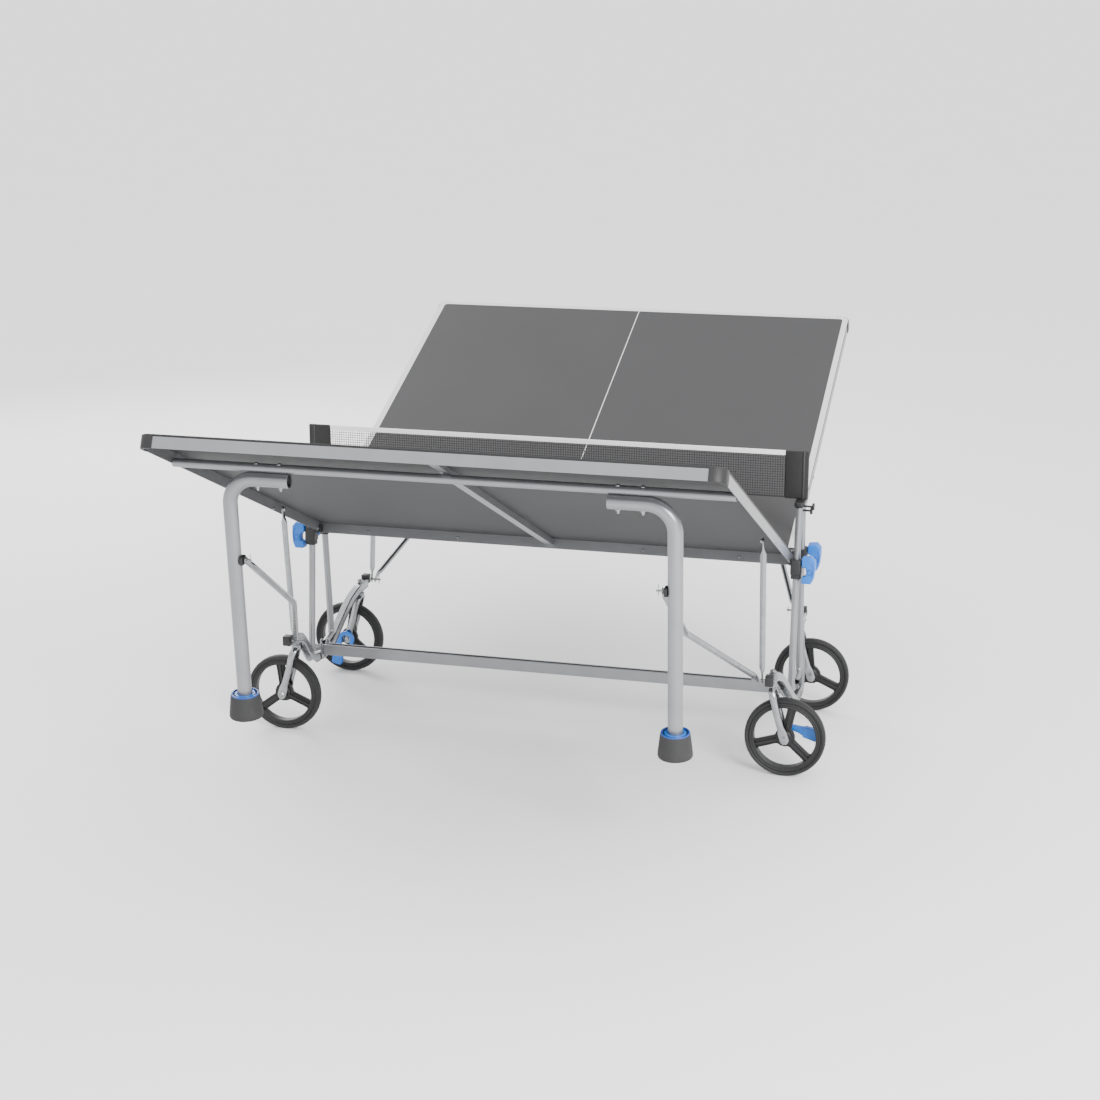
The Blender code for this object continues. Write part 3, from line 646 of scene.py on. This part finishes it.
def pressed_end(from_end, eye, tube, eye_length, taper):
    """Half width and half thickness of a tube pressed into a round-ended eye, at a distance from its end."""
    share = min(max((from_end - eye_length) / taper, 0.0), 1.0)
    share = share * share * (3 - 2 * share)
    wide, thick = (flat + (full - flat) * share for flat, full in zip(eye, tube))
    if from_end < eye[0]:
        wide *= sqrt(1 - (1 - from_end / eye[0]) ** 2)
    return wide, thick


def bar_section(from_end):
    """Section of a steel bar at a distance from its nearer end: an eye, a taper, then a tube."""
    wide, thick = pressed_end(from_end, (EYE_WIDTH, EYE_THICK), (BAR_RADIUS, BAR_RADIUS), EYE_LENGTH,
                              EYE_TAPER)
    return oval(thick, wide, 24)


def bar(route):
    """A tube along a route whose ends are pressed flat into eyes that lie across X."""
    total = length_of(route)
    ends = [0.0002, 0.0008, 0.002, 0.004, 0.007, 0.010, 0.020]
    ends += [EYE_LENGTH + EYE_TAPER * i / 8 for i in range(9)]
    middle = [ends[-1] + (total - 2 * ends[-1]) * i / 40 for i in range(1, 40)]
    stations = ends + middle + [total - e for e in reversed(ends)]
    return swept(stationed(route, stations), [bar_section(min(s, total - s)) for s in stations])


def build_link(where, hand, ground, pivot):
    """The tube from the chassis up to the side of a half."""
    body = f"{where}_link"
    reach = CHASSIS_PIVOT - pivot
    direction = Vector((0, reach.y, reach.z)).normalized()
    top = Vector((hand * LINK_X, pivot.y, pivot.z))
    foot = Vector((hand * LINK_X, CHASSIS_PIVOT.y, CHASSIS_PIVOT.z))
    piece(f"{where}_link_tube", bar([top - direction * 0.010, foot + direction * 0.010]), "bar", body, ground,
          [f"{where}_link"])
    bolt = merged((hexagon_bolt(0.0062), facing(top - Vector((hand * EYE_THICK, 0, 0)), (-hand, 0, 0))))
    piece(f"{where}_link_bolt", bolt, "zinc", body, ground)


def build_strut(where, hand, ground, pivot):
    """The cranked tube from a leg to the chassis."""
    reach = CHASSIS_PIVOT - pivot
    flat_reach = Vector((0, reach.y, reach.z))
    direction = flat_reach.normalized()
    top = Vector((hand * STRUT_TOP_X, pivot.y, pivot.z))
    foot = Vector((hand * STRUT_LOWER_X, CHASSIS_PIVOT.y, CHASSIS_PIVOT.z))
    corners = [top - direction * 0.010, top + flat_reach * 0.46, foot - direction * 0.024,
               foot + direction * 0.010]
    piece(f"{where}_strut_tube", bar(rounded_path(corners, 0.045, 10)), "bar", f"{where}_strut", ground,
          [f"{where}_strut"])


def build_foot(name, body, place, node):
    """A flared rubber foot with two blue rings in its top face round the leg."""
    rubber = [(0.0425, 0), (0.0455, 0.0012), (0.0470, 0.0050), (0.0462, 0.016), (0.0440, 0.034),
              (0.0418, 0.052), (0.0404, 0.0635), (0.0392, 0.0662), (0.0375, 0.0670), (0.0205, 0.0640),
              (0.0205, FOOT_FLOOR)]
    piece(name + "_rubber", turned(rubber), "rubber", body, place, [node])
    outer = [(0.0388, 0.0655), (0.0392, 0.0685), (0.0380, 0.0702), (0.0345, 0.0702), (0.0333, 0.0685),
             (0.0333, 0.0650)]
    inner = [(0.0288, 0.0640), (0.0288, 0.0682), (0.0278, 0.0694), (0.0222, 0.0694), (0.0210, 0.0684),
             (0.0210, 0.0640)]
    # The outer ring takes the blue darkened as painted shade
    piece(name + "_outer_ring", turned(outer, ring=True), "shaded blue", body, place)
    piece(name + "_inner_ring", turned(inner, ring=True), "blue", body, place)


def build_cross_tube(end, legs):
    reach = HALF_WIDTH - 0.003
    ends = [Vector((-reach, 0, 0)), Vector((reach, 0, 0))]
    tube = pipe(ends, CROSS_RADIUS, TUBE_WALL, Vector((0, 1, 0)))
    piece(f"{end}_cross_bar", tube, "silver", f"{end}_legs", legs, [f"{end}_cross_tube"], bevel=0.0003)


# ---------------------------------------------------------------- chassis

def post_point(hand, z):
    return Vector((hand * POST_X, POST_Y_AT_FLOOR + POST_LEAN * z, z))


def build_post(where, hand, ground):
    """The leaning upright tube, turned in at its foot to the rail."""
    corners = [post_point(hand, POST_TOP_Z), post_point(hand, 0.198), (hand * POST_X, -0.024, 0.184)]
    tube = pipe(rounded_path(corners, 0.020, 10), POST_RADIUS, TUBE_WALL)
    piece(f"{where}_post_tube", tube, "silver", "chassis", ground, [f"{where}_post"])


def build_slide_block(where, hand, slides):
    """The moulded block that slides on a post: a body with a shoulder and the fold pin's boss."""
    x = hand * POST_X
    offset = (POST_Y_AT_FLOOR + POST_LEAN * 0.600 + 0.0645) / hypot(1, POST_LEAN)
    body = rectangle((-0.0165, -0.014), (0.0165, 0.0275), 0.006)
    bore = arc((0, offset), 0.0112, 0, 2 * pi, 32)[:-1]
    core = plate([body, bore], 0.044, 0.0016)
    slim = rectangle((-0.0150, -0.008), (0.0150, 0.0262), 0.007)
    collar = plate([slim, bore], 0.016, 0.0014)
    boss = turned([(0.0085, 0), (0.0085, 0.0020), (0.0070, 0.0030)], 24)
    whole = merged((core, Matrix.Translation((x, 0, -0.017))), (collar, Matrix.Translation((x, 0, -0.0450))),
                   (boss, facing((hand * 0.7640, 0, 0), (-hand, 0, 0))))
    piece(f"{where}_slider", whole, "black", f"{where[:where.index('_')]}_slides", slides,
          [f"{where}_slide_block"])


def build_handle(where, hand, slides):
    """The blue grip: a hooked C round the block, embossed with a ring and a crescent on both faces."""
    pivot = slides @ Matrix.Translation((hand * LOCK_X, 0, 0.012))
    outline = [(-0.008, 0.005), (-0.008, -0.024), (0.003, -0.028), (0.006, -0.040), (0.004, -0.052),
               (-0.007, -0.056), (-0.0075, -0.076), (0.021, -0.076), (0.0285, -0.060), (0.032, -0.030),
               (0.0315, -0.006), (0.020, 0.0078)]
    grip = plate([rounded_outline([(hand * x, z) for x, z in outline], 0.0042)], 0.034, 0.0030)
    body = f"{where}_handle"
    piece(f"{where}_grip", grip, "blue", body, pivot @ UPRIGHT, [f"{where}_lock_handle"])
    marks = []
    for face in (-1, 1):
        ring = [Vector((hand * 0.0165 + 0.0078 * cos(a), face * 0.0168, -0.040 + 0.0078 * sin(a)))
                for a in [i * pi / 16 for i in range(33)]]
        crescent = [Vector((hand * (0.0110 + 0.0165 * cos(a)), face * 0.0168, -0.034 + 0.026 * sin(a)))
                    for a in [-0.9 + i * 1.9 / 16 for i in range(17)]]
        for route in (ring, crescent):
            marks.append((swept(route, [oval(0.0013, 0.0013, 8)] * len(route), Vector((0, 1, 0))), STILL))
    # The embossed marks take the blue darkened as painted shade
    piece(f"{where}_grip_emboss", merged(*marks), "shaded blue", body, pivot)


def build_arm(where, hand, ground):
    """The pressed channel, open below, that rises from the foot of the posts to a caster."""
    anchors = [(0.786, -0.002, 0.157), (0.786, -0.045, 0.157), (0.783, -0.085, 0.168), (0.774, -0.150, 0.221),
               (0.763, -0.215, 0.273), (0.753, -0.270, 0.299), (0.752, -0.310, ARM_TIP_Z),
               (0.752, -0.345, ARM_TIP_Z)]
    route = smooth_path([(hand * x, y, z) for x, y, z in anchors], 5)
    half, top, wall, lip = 0.012, 0.013, 0.0025, 0.0022
    section = [(-half - lip, -top), (-half, -top + lip), (-half, top - 0.003), (-half + 0.003, top),
               (half - 0.003, top), (half, top - 0.003), (half, -top + lip), (half + lip, -top),
               (half + lip - wall, -top), (half - wall, -top + lip + 0.001), (half - wall, top - wall),
               (-half + wall, top - wall), (-half + wall, -top + lip + 0.001), (-half - lip + wall, -top)]
    piece(f"{where}_arm_channel", swept(route, [section] * len(route)), "zinc", "chassis", ground,
          [f"{where}_arm"])
    crown = ARM_TIP_Z + top
    over = Vector((hand * SWIVEL.x, SWIVEL.y, crown))
    eye = turned([(0.0052, 0.0), (0.0085, 0.0), (0.0095, 0.0012), (0.0095, 0.0030), (0.0085, 0.0042),
                  (0.0052, 0.0042)], 32, ring=True)
    nut = merged((hexagon_bolt(0.0080), facing(over, (0, 0, 1))),
                 (turned([(0.0048, 0.004), (0.0048, 0.011), (0.0036, 0.0125)], 20), facing(over, (0, 0, 1))),
                 (eye, facing(over + Vector((0, 0, 0.0052)), (0, 0, 1))))
    piece(f"{where}_swivel_nut", nut, "zinc", "chassis", ground)
    pin = Vector((0, CHASSIS_PIVOT.y, CHASSIS_PIVOT.z))
    lug = plate([rectangle((-0.0155, -0.0150), (0.0155, 0.0150), 0.004)], 0.024, 0.0016)
    piece(f"{where}_pivot_block", lug, "black", "chassis",
          ground @ Matrix.Translation(pin + Vector((hand * SWIVEL.x, 0, 0))) @ SIDEWAYS)
    rod = turned([(0.0058, 0), (0.0058, 0.003), (0.0032, 0.0034), (0.0032, 0.066), (0.0022, 0.068)], 20)
    start = pin + Vector((hand * 0.7665, 0, 0))
    whole = merged((rod, facing(start, (-hand, 0, 0))),
                   (pin_clip(), Matrix.Translation(start - Vector((hand * 0.0630, 0, 0)))))
    piece(f"{where}_pivot_pin", whole, "zinc", "chassis", ground)
    stud = turned([(0.0072, 0), (0.0072, 0.006), (0.0055, 0.0085), (0.0030, 0.0090)], 24)
    piece(f"{where}_arm_stud", stud, "black", "chassis",
          ground @ facing((hand * 0.7700, -0.205, 0.243), (0, -1, 0)))


def build_post_bracket(side, hand):
    """The pressed V bracket that ties a pair of posts and arms to the rail end, with its bolts."""
    x = hand * 0.7715
    corners = [(-0.040, 0.196), (-0.022, 0.140), (0.022, 0.140), (0.040, 0.196), (0.026, 0.204), (0.0, 0.170),
               (-0.026, 0.204)]
    vee = plate([rounded_outline(corners, 0.005)], 0.0030, 0.0006)
    in_side_plane = Matrix(((0, 0, 1, 0), (1, 0, 0, 0), (0, 1, 0, 0), (0, 0, 0, 1)))
    piece(f"{side}_post_bracket", vee, "zinc", "chassis", Matrix.Translation((x, 0, 0)) @ in_side_plane)
    bolts = []
    for y, z in ((-0.027, 0.188), (0.027, 0.188), (0.0, 0.152)):
        bolts.append((hexagon_bolt(0.0062), facing((x - hand * 0.0015, y, z), (-hand, 0, 0))))
    for y in (-0.027, 0.027):
        bolts.append((hexagon_bolt(0.0062), facing((hand * (POST_X + POST_RADIUS), y, 0.188), (hand, 0, 0))))
    piece(f"{side}_bracket_bolts", merged(*bolts), "zinc", "chassis")


def build_rail():
    """The long rail: a rolled channel, open above between two returned lips."""
    reach = 0.7735
    d, low, high, wall, lip = RAIL_HALF_DEPTH, RAIL_LOW, RAIL_HIGH, 0.0018, 0.0045
    section = [(-d, low), (d, low), (d, high), (d - lip, high), (d - lip, high - wall),
               (d - wall, high - wall), (d - wall, low + wall), (-d + wall, low + wall),
               (-d + wall, high - wall), (-d + lip, high - wall), (-d + lip, high), (-d, high)]
    channel = lofted([[(x, y, z) for y, z in section] for x in (-reach, reach)])
    piece("rail_channel", channel, "silver", "chassis", replaces=["lower_rail"], bevel=0.0007)


# ---------------------------------------------------------------- casters

def build_fork(where, hand, swivel):
    """A bent tube over the wheel whose two ends are pressed flat on the axle, on a turned neck."""
    side = FORK_SIDE
    drop = WHEEL_RADIUS
    leg = [(hand * TRAIL * 1.16, side, drop - 0.016), (hand * TRAIL, side, drop),
           (hand * TRAIL * 0.45, side, 0.195), (hand * TRAIL * 0.16, side - 0.001, 0.245),
           (0, 0.017, 0.264), (0, 0.006, 0.2700)]
    route = smooth_path(leg + [(x, -y, z) for x, y, z in reversed(leg)], 8)
    total = length_of(route)
    stations = [0.0003, 0.001, 0.003, 0.006, 0.010] + [0.014 + (total - 0.028) * i / 60 for i in range(61)]
    stations += [total - s for s in (0.010, 0.006, 0.003, 0.001, 0.0003)]
    sections = [oval(*pressed_end(min(s, total - s), FORK_EYE, FORK_TUBE, FORK_EYE_LENGTH, FORK_TAPER), 24)
                for s in stations]
    body = f"{where}_caster"
    piece(f"{where}_fork_tube", swept(stationed(route, stations), sections), "zinc", body, swivel,
          [f"{where}_fork"])
    neck = turned([(0.0080, 0.262), (0.0105, 0.268), (0.0150, 0.276), (0.0150, 0.281), (0.0110, 0.283),
                   (0.0110, 0.2892)], 32)
    piece(f"{where}_swivel_neck", neck, "zinc", body, swivel)
    bolts = [(hexagon_bolt(0.0082), facing((hand * TRAIL, face * (side + 0.0021), drop), (0, face, 0)))
             for face in (-1, 1)]
    axle = turned([(0.004, -side), (0.004, side)], 16)
    bolts.append((axle, facing((hand * TRAIL, 0, drop), (0, 1, 0))))
    piece(f"{where}_axle_bolt", merged(*bolts), "zinc", body, swivel)


def spoke_window(turn):
    """One opening of the wheel, between two spokes, with a round corner at each end."""
    gap = 2 * pi / 3
    steps = 18
    margin = HALF_SPOKE * 1.25 / WINDOW_RADIUS
    outer = arc((0, 0), WINDOW_RADIUS, turn + margin, turn + gap - margin, steps)
    middle = turn + gap / 2
    inner_radius = 0.030
    spread = gap / 2 - 0.44
    inner = [(inner_radius * cos(middle + spread * s), inner_radius * sin(middle + spread * s))
             for s in (1.0, 0.4, -0.4, -1.0)]
    corners = outer + inner
    path = []
    count = len(corners)
    for i, corner in enumerate(corners):
        before, after = Vector(corners[i - 1]), Vector(corners[(i + 1) % count])
        here = Vector(corner)
        back, ahead = (before - here), (after - here)
        if i in (0, steps, steps + 1, count - 1):
            reach = 0.0085 if i in (0, steps) else 0.006
            start = here + back.normalized() * min(reach, back.length * 0.9)
            end = here + ahead.normalized() * min(reach, ahead.length * 0.9)
            for step in range(6):
                t = step / 5
                path.append(tuple(start * (1 - t) ** 2 + here * 2 * t * (1 - t) + end * t * t))
        else:
            path.append(corner)
    return path


def build_wheel(where, axle, spin):
    """A three-spoke wheel: ribbed spider, rim and moulded-on tread with a groove on each side."""
    body = f"{where}_wheel"
    across = axle @ UPRIGHT @ Matrix.Rotation(spin, 4, "Z")
    rim_out = arc((0, 0), RIM_RADIUS, 0, 2 * pi, 72)[:-1]
    windows = [spoke_window(pi / 2 + 2 * pi * k / 3) for k in range(3)]
    web = plate([rim_out, *windows], 0.013, 0.0016)
    edge = [(WINDOW_RADIUS, 0.0125), (0.0945, 0.0140), (0.0985, 0.0140), (RIM_RADIUS, 0.0130)]
    rim = turned([(r, -y) for r, y in edge] + [(r, y) for r, y in reversed(edge)], 96, ring=True)
    hub = turned([(0.0125, -0.0195), (0.0150, -0.0185), (0.0165, -0.0125), (0.0215, -0.0105),
                  (0.0235, -0.0065), (0.0235, 0.0065), (0.0215, 0.0105), (0.0165, 0.0125),
                  (0.0150, 0.0185), (0.0125, 0.0195)], 48)
    parts = [(web, STILL), (rim, STILL), (hub, STILL)]
    for k in range(3):
        turn = Matrix.Rotation(pi / 2 + 2 * pi * k / 3, 4, "Z")
        for face in (-1, 1):
            low, high = sorted((face * 0.0060, face * 0.0115))
            parts.append((block((0.016, -0.0035, low), (0.0950, 0.0035, high)), turn))
            for offset in (-0.0092, 0.0092):
                low_edge, high_edge = sorted((face * 0.0060, face * 0.0090))
                parts.append((block((0.024, offset - 0.0010, low_edge), (0.0930, offset + 0.0010, high_edge)),
                              turn))
    piece(f"{where}_wheel_spider", merged(*parts), "wheel", body, across, [f"{where}_wheel"], bevel=0.0006)
    r = WHEEL_RADIUS
    side = [(0.0995, 0.0128), (0.1040, 0.0146), (0.1062, 0.0138), (0.1074, 0.0122), (0.1088, 0.0138),
            (0.1110, 0.0152), (0.1160, 0.0158), (r - 0.0030, 0.0135), (r - 0.0008, 0.0095), (r, 0.0050)]
    profile = [(radius, -y) for radius, y in side] + [(radius, y) for radius, y in reversed(side)]
    piece(f"{where}_tyre", turned(profile, 96, ring=True), "tyre", body, across)


def build_brake(where, turn, axle):
    """A cane-shaped pedal hooked over the hub on the fork's inner side, widened where a foot presses."""
    outer = arc((0, 0), BRAKE_HOOK[0], radians(300), radians(90), 24)
    inner = arc((0, 0), BRAKE_HOOK[1], radians(62), radians(300), 24)
    shaft = [(0.036, 0.0295), (0.062, 0.0310), (0.086, 0.0280), (0.0940, 0.0210), (0.0935, -0.0030),
             (0.086, -0.0080), (0.060, -0.0020), (0.034, 0.0080)]
    hook = plate([outer + shaft + inner], 0.0115, 0.0018)
    tread = [(0.050, 0.0285), (0.0905, 0.0255), (0.0905, -0.0050), (0.050, 0.0015)]
    pad = plate([rounded_outline(tread, 0.004)], 0.020, 0.0024)
    place = axle @ Matrix.Rotation(-turn, 4, "Y") @ Matrix.Translation((0, BRAKE_SIDE, 0))
    whole = merged((hook, UPRIGHT), (pad, Matrix.Translation((0, 0.0015, 0)) @ UPRIGHT))
    piece(f"{where}_brake_pedal", whole, "blue", f"{where}_brake", place, [f"{where}_brake"])


# ---------------------------------------------------------------- net

def build_net():
    """The stretched net: woven cords on a square pitch, a white top tape and a dark foot hem."""
    top = NET_HIGH - 0.0130
    low = NET_LOW + 0.0015
    shape = bmesh.new()
    thick = CORD_WIDTH / 2
    columns = round(2 * NET_X / MESH_PITCH)
    rows = round((top - low) / MESH_PITCH)
    for i in range(columns + 1):
        x = -NET_X + 2 * NET_X * i / columns
        strand = [Vector((x, 0.0003 * (-1) ** i, low)), Vector((x, 0.0003 * (-1) ** i, top))]
        add_strand(shape, strand, thick, Vector((1, 0, 0)))
    for j in range(rows + 1):
        z = low + (top - low) * j / rows
        strand = [Vector((-NET_X, 0, z)), Vector((NET_X, 0, z))]
        add_strand(shape, strand, thick, Vector((0, 1, 0)))
    net = piece("net_mesh", shape, "cord", "chassis", replaces=["net"])
    tape = piece("net_top_tape", block((-NET_X, -0.0022, top - 0.0005), (NET_X, 0.0022, NET_HIGH + 0.0012)),
                 "tape", "chassis", bevel=0.0012)
    hem = piece("net_foot_hem", block((-NET_X, -0.0016, NET_LOW - 0.0008), (NET_X, 0.0016, NET_LOW + 0.0042)),
                "cord", "chassis", bevel=0.0010)


def add_strand(shape, ends, half, side):
    """A four-sided cord between two points."""
    along = (ends[1] - ends[0]).normalized()
    up = along.cross(side).normalized()
    section = ((1, 0), (0, 1), (-1, 0), (0, -1))
    rings = [[shape.verts.new(p + side * half * a + up * half * b) for a, b in section] for p in ends]
    bridge(shape, rings)
    shape.faces.new(rings[0])
    shape.faces.new(reversed(rings[-1]))


def build_net_end(side, hand):
    """One net post in its cloth pocket, the clamp on the two uprights, and its thumb screws."""
    low_x, high_x = 0.7290, 0.8000
    sleeve = plate([rectangle((hand * low_x, NET_LOW - 0.003), (hand * high_x, NET_HIGH + 0.002), 0.0040)],
                   0.0090, 0.0030)
    piece(f"{side}_net_sleeve", sleeve, "sleeve", "chassis", UPRIGHT, [f"{side}_net_post"])
    rod = turned([(0.0062, NET_LOW - 0.004), (0.0062, NET_HIGH), (0.0050, NET_HIGH + 0.0020)], 24)
    piece(f"{side}_net_rod", rod, "black", "chassis", Matrix.Translation((hand * 0.7845, 0, 0)))
    beam = plate([rectangle((-0.0145, -0.052), (0.0145, 0.052), 0.009)], 0.0130, 0.0022)
    tab = plate([rectangle((-0.0085, -0.020), (0.0085, 0.020), 0.0075)], 0.0110, 0.0022)
    caps = []
    for end_sign in (-1, 1):
        y = end_sign * (POST_Y_AT_FLOOR + POST_LEAN * POST_TOP_Z)
        caps.append((turned([(0.0112, -0.004), (0.0118, -0.003), (0.0118, 0.003), (0.0104, 0.005)], 32),
                     Matrix.Translation((hand * POST_X, y, POST_TOP_Z))))
    hung = Matrix.Translation((hand * 0.7790, 0, CLAMP_Z - 0.0240))
    hung = hung @ SIDEWAYS @ Matrix.Rotation(pi / 2, 4, "Z")
    whole = merged((beam, Matrix.Translation((hand * POST_X, 0, CLAMP_Z))), (tab, hung), *caps)
    piece(f"{side}_clamp_bracket", whole, "black", "chassis", replaces=[f"{side}_net_clamp"])
    screws = []
    for y, z, start, end in ((-0.020, 0.7590, 0.7665, 0.820), (0.0, 0.7410, 0.784, 0.812)):
        length = end - start
        screw = turned([(0.0033, 0), (0.0033, length), (0.0026, length + 0.0005)], 16)
        bar_head = turned([(0.0034, -0.0105), (0.0042, -0.0092), (0.0042, 0.0092), (0.0034, 0.0105)], 16)
        screws.append((screw, facing((hand * start, y, z), (hand, 0, 0))))
        screws.append((bar_head, facing((hand * end, y, z), (0, 0.35, 1))))
    piece(f"{side}_thumb_screws", merged(*screws), "black", "chassis", bevel=0.0004)


# ---------------------------------------------------------------- the whole table

WHEEL_SPINS = {"near_right": radians(-12), "near_left": radians(7), "far_right": radians(-6),
               "far_left": radians(10)}
BRAKE_TURNS = {"near_right": radians(-8), "far_left": radians(-75)}


def joint(name):
    return next(j for j in frame["joints"] if j["name"] == name)


def build_end(end, turn):
    """All that belongs to one end, placed by the frame's own joints."""
    ground = Matrix.Rotation(turn, 4, "Z")
    fold = joint(f"{end}_fold")
    hinge = Matrix.Translation(fold["pos_m"])
    half = hinge @ ground @ Matrix.Rotation(radians(fold["range_deg"][0]), 4, "X")
    slides = hinge @ ground @ Matrix.Rotation(-atan(POST_LEAN), 4, "X")
    legs_pivot = Matrix.Translation(joint(f"{end}_legs_pivot")["pos_m"])
    legs = legs_pivot @ ground @ Matrix.Rotation(LEG_LEAN, 4, "X")
    build_board(end, half)
    build_brace(end, half)
    build_half_fittings(end, half)
    build_cross_tube(end, legs)
    for hand in (-1, 1):
        left = (hand < 0) != (end == "far")
        where = f"{end}_{'left' if left else 'right'}"
        build_corner(f"{where}_corner_guard", hand, f"{end}_half", half, f"{where}_corner_cap")
        build_leg(f"{where}_leg", hand, f"{end}_legs", legs, f"{where}_leg")
        build_strut_bracket(where, hand, f"{end}_legs", legs)
        build_foot(f"{where}_foot", f"{where}_foot", legs @ Matrix.Translation((hand * LEG_X, 0, -FOOT_DROP)),
                   f"{where}_foot")
        build_link(where, hand, ground, ground.inverted() @ half @ Vector((0, -LINK_TOP_OUT, 0)))
        pivot = ground.inverted() @ Vector(joint(f"{where}_strut_pivot")["pos_m"])
        build_strut(where, hand, ground, pivot)
        build_post(where, hand, ground)
        build_slide_block(where, hand, slides)
        build_handle(where, hand, slides)
        build_arm(where, hand, ground)
        swivel = ground @ Matrix.Translation((hand * SWIVEL.x, SWIVEL.y, 0))
        axle = swivel @ Matrix.Translation((hand * TRAIL, 0, WHEEL_RADIUS))
        build_fork(where, hand, swivel)
        build_wheel(where, axle, WHEEL_SPINS[where])
        if where in BRAKE_TURNS:
            build_brake(where, BRAKE_TURNS[where], axle)


def finish_aprons():
    """The folded steel aprons keep their own shape and take the silver coat."""
    for name, node in frame["nodes"].items():
        if name.endswith("_apron_frame"):
            for slot in node.material_slots:
                slot.material = FINISHES["silver"][0]


def build_studio():
    """A pale seamless floor under a soft dome that is brightest overhead, a key light, and the camera."""
    floor_paint = surface("studio_floor", "#F6F6F6", "#F2F2F2", 900, (0.80, 0.90), 6, 0.02)
    shape = bmesh.new()
    bmesh.ops.create_grid(shape, x_segments=1, y_segments=1, size=15000)
    mesh = bpy.data.meshes.new("studio_floor")
    shape.to_mesh(mesh)
    shape.free()
    mesh.materials.append(floor_paint)
    floor = bpy.data.objects.new("studio_floor", mesh)
    bpy.context.scene.collection.objects.link(floor)
    world = bpy.data.worlds.new("studio")
    world.use_nodes = True
    tree = world.node_tree
    height = add(tree, "ShaderNodeSeparateXYZ", {0: add(tree, "ShaderNodeTexCoord", {}).outputs["Generated"]})
    glow = add(tree, "ShaderNodeMapRange", {"Value": height.outputs["Z"], "From Min": 0.0, "From Max": 1.0,
                                            "To Min": 1.4, "To Max": 2.3})
    tree.nodes["Background"].inputs["Color"].default_value = (1.0, 1.0, 1.0, 1.0)
    tree.links.new(glow.outputs["Result"], tree.nodes["Background"].inputs["Strength"])
    bpy.context.scene.world = world
    for name, place, aim, size, power in (("key", (4.2, -4.6, 3.4), (0, 0, 0.6), 2.4, 520.0),
                                          ("rim", (-3.5, 4.0, 3.0), (0, 0, 0.6), 2.0, 140.0)):
        light = bpy.data.lights.new(name, "AREA")
        light.size = size
        light.energy = power
        lamp = bpy.data.objects.new(name, light)
        lamp.location = place
        lamp.rotation_euler = (Vector(place) - Vector(aim)).to_track_quat("Z", "Y").to_euler()
        bpy.context.scene.collection.objects.link(lamp)
    lens = bpy.data.cameras.new("camera")
    lens.lens = 65.63
    lens.sensor_width = 36.0
    lens.clip_end = 20000.0
    camera = bpy.data.objects.new("camera", lens)
    camera.location = (1.5426, -5.8814, 2.2317)
    camera.rotation_euler = (radians(74.64), 0, radians(14.74))
    bpy.context.scene.collection.objects.link(camera)
    bpy.context.scene.camera = camera


for end, turn in (("near", 0.0), ("far", pi)):
    build_end(end, turn)
build_rail()
for side, hand in (("left", -1), ("right", 1)):
    build_post_bracket(side, hand)
    build_net_end(side, hand)
build_net()
finish_aprons()
build_studio()
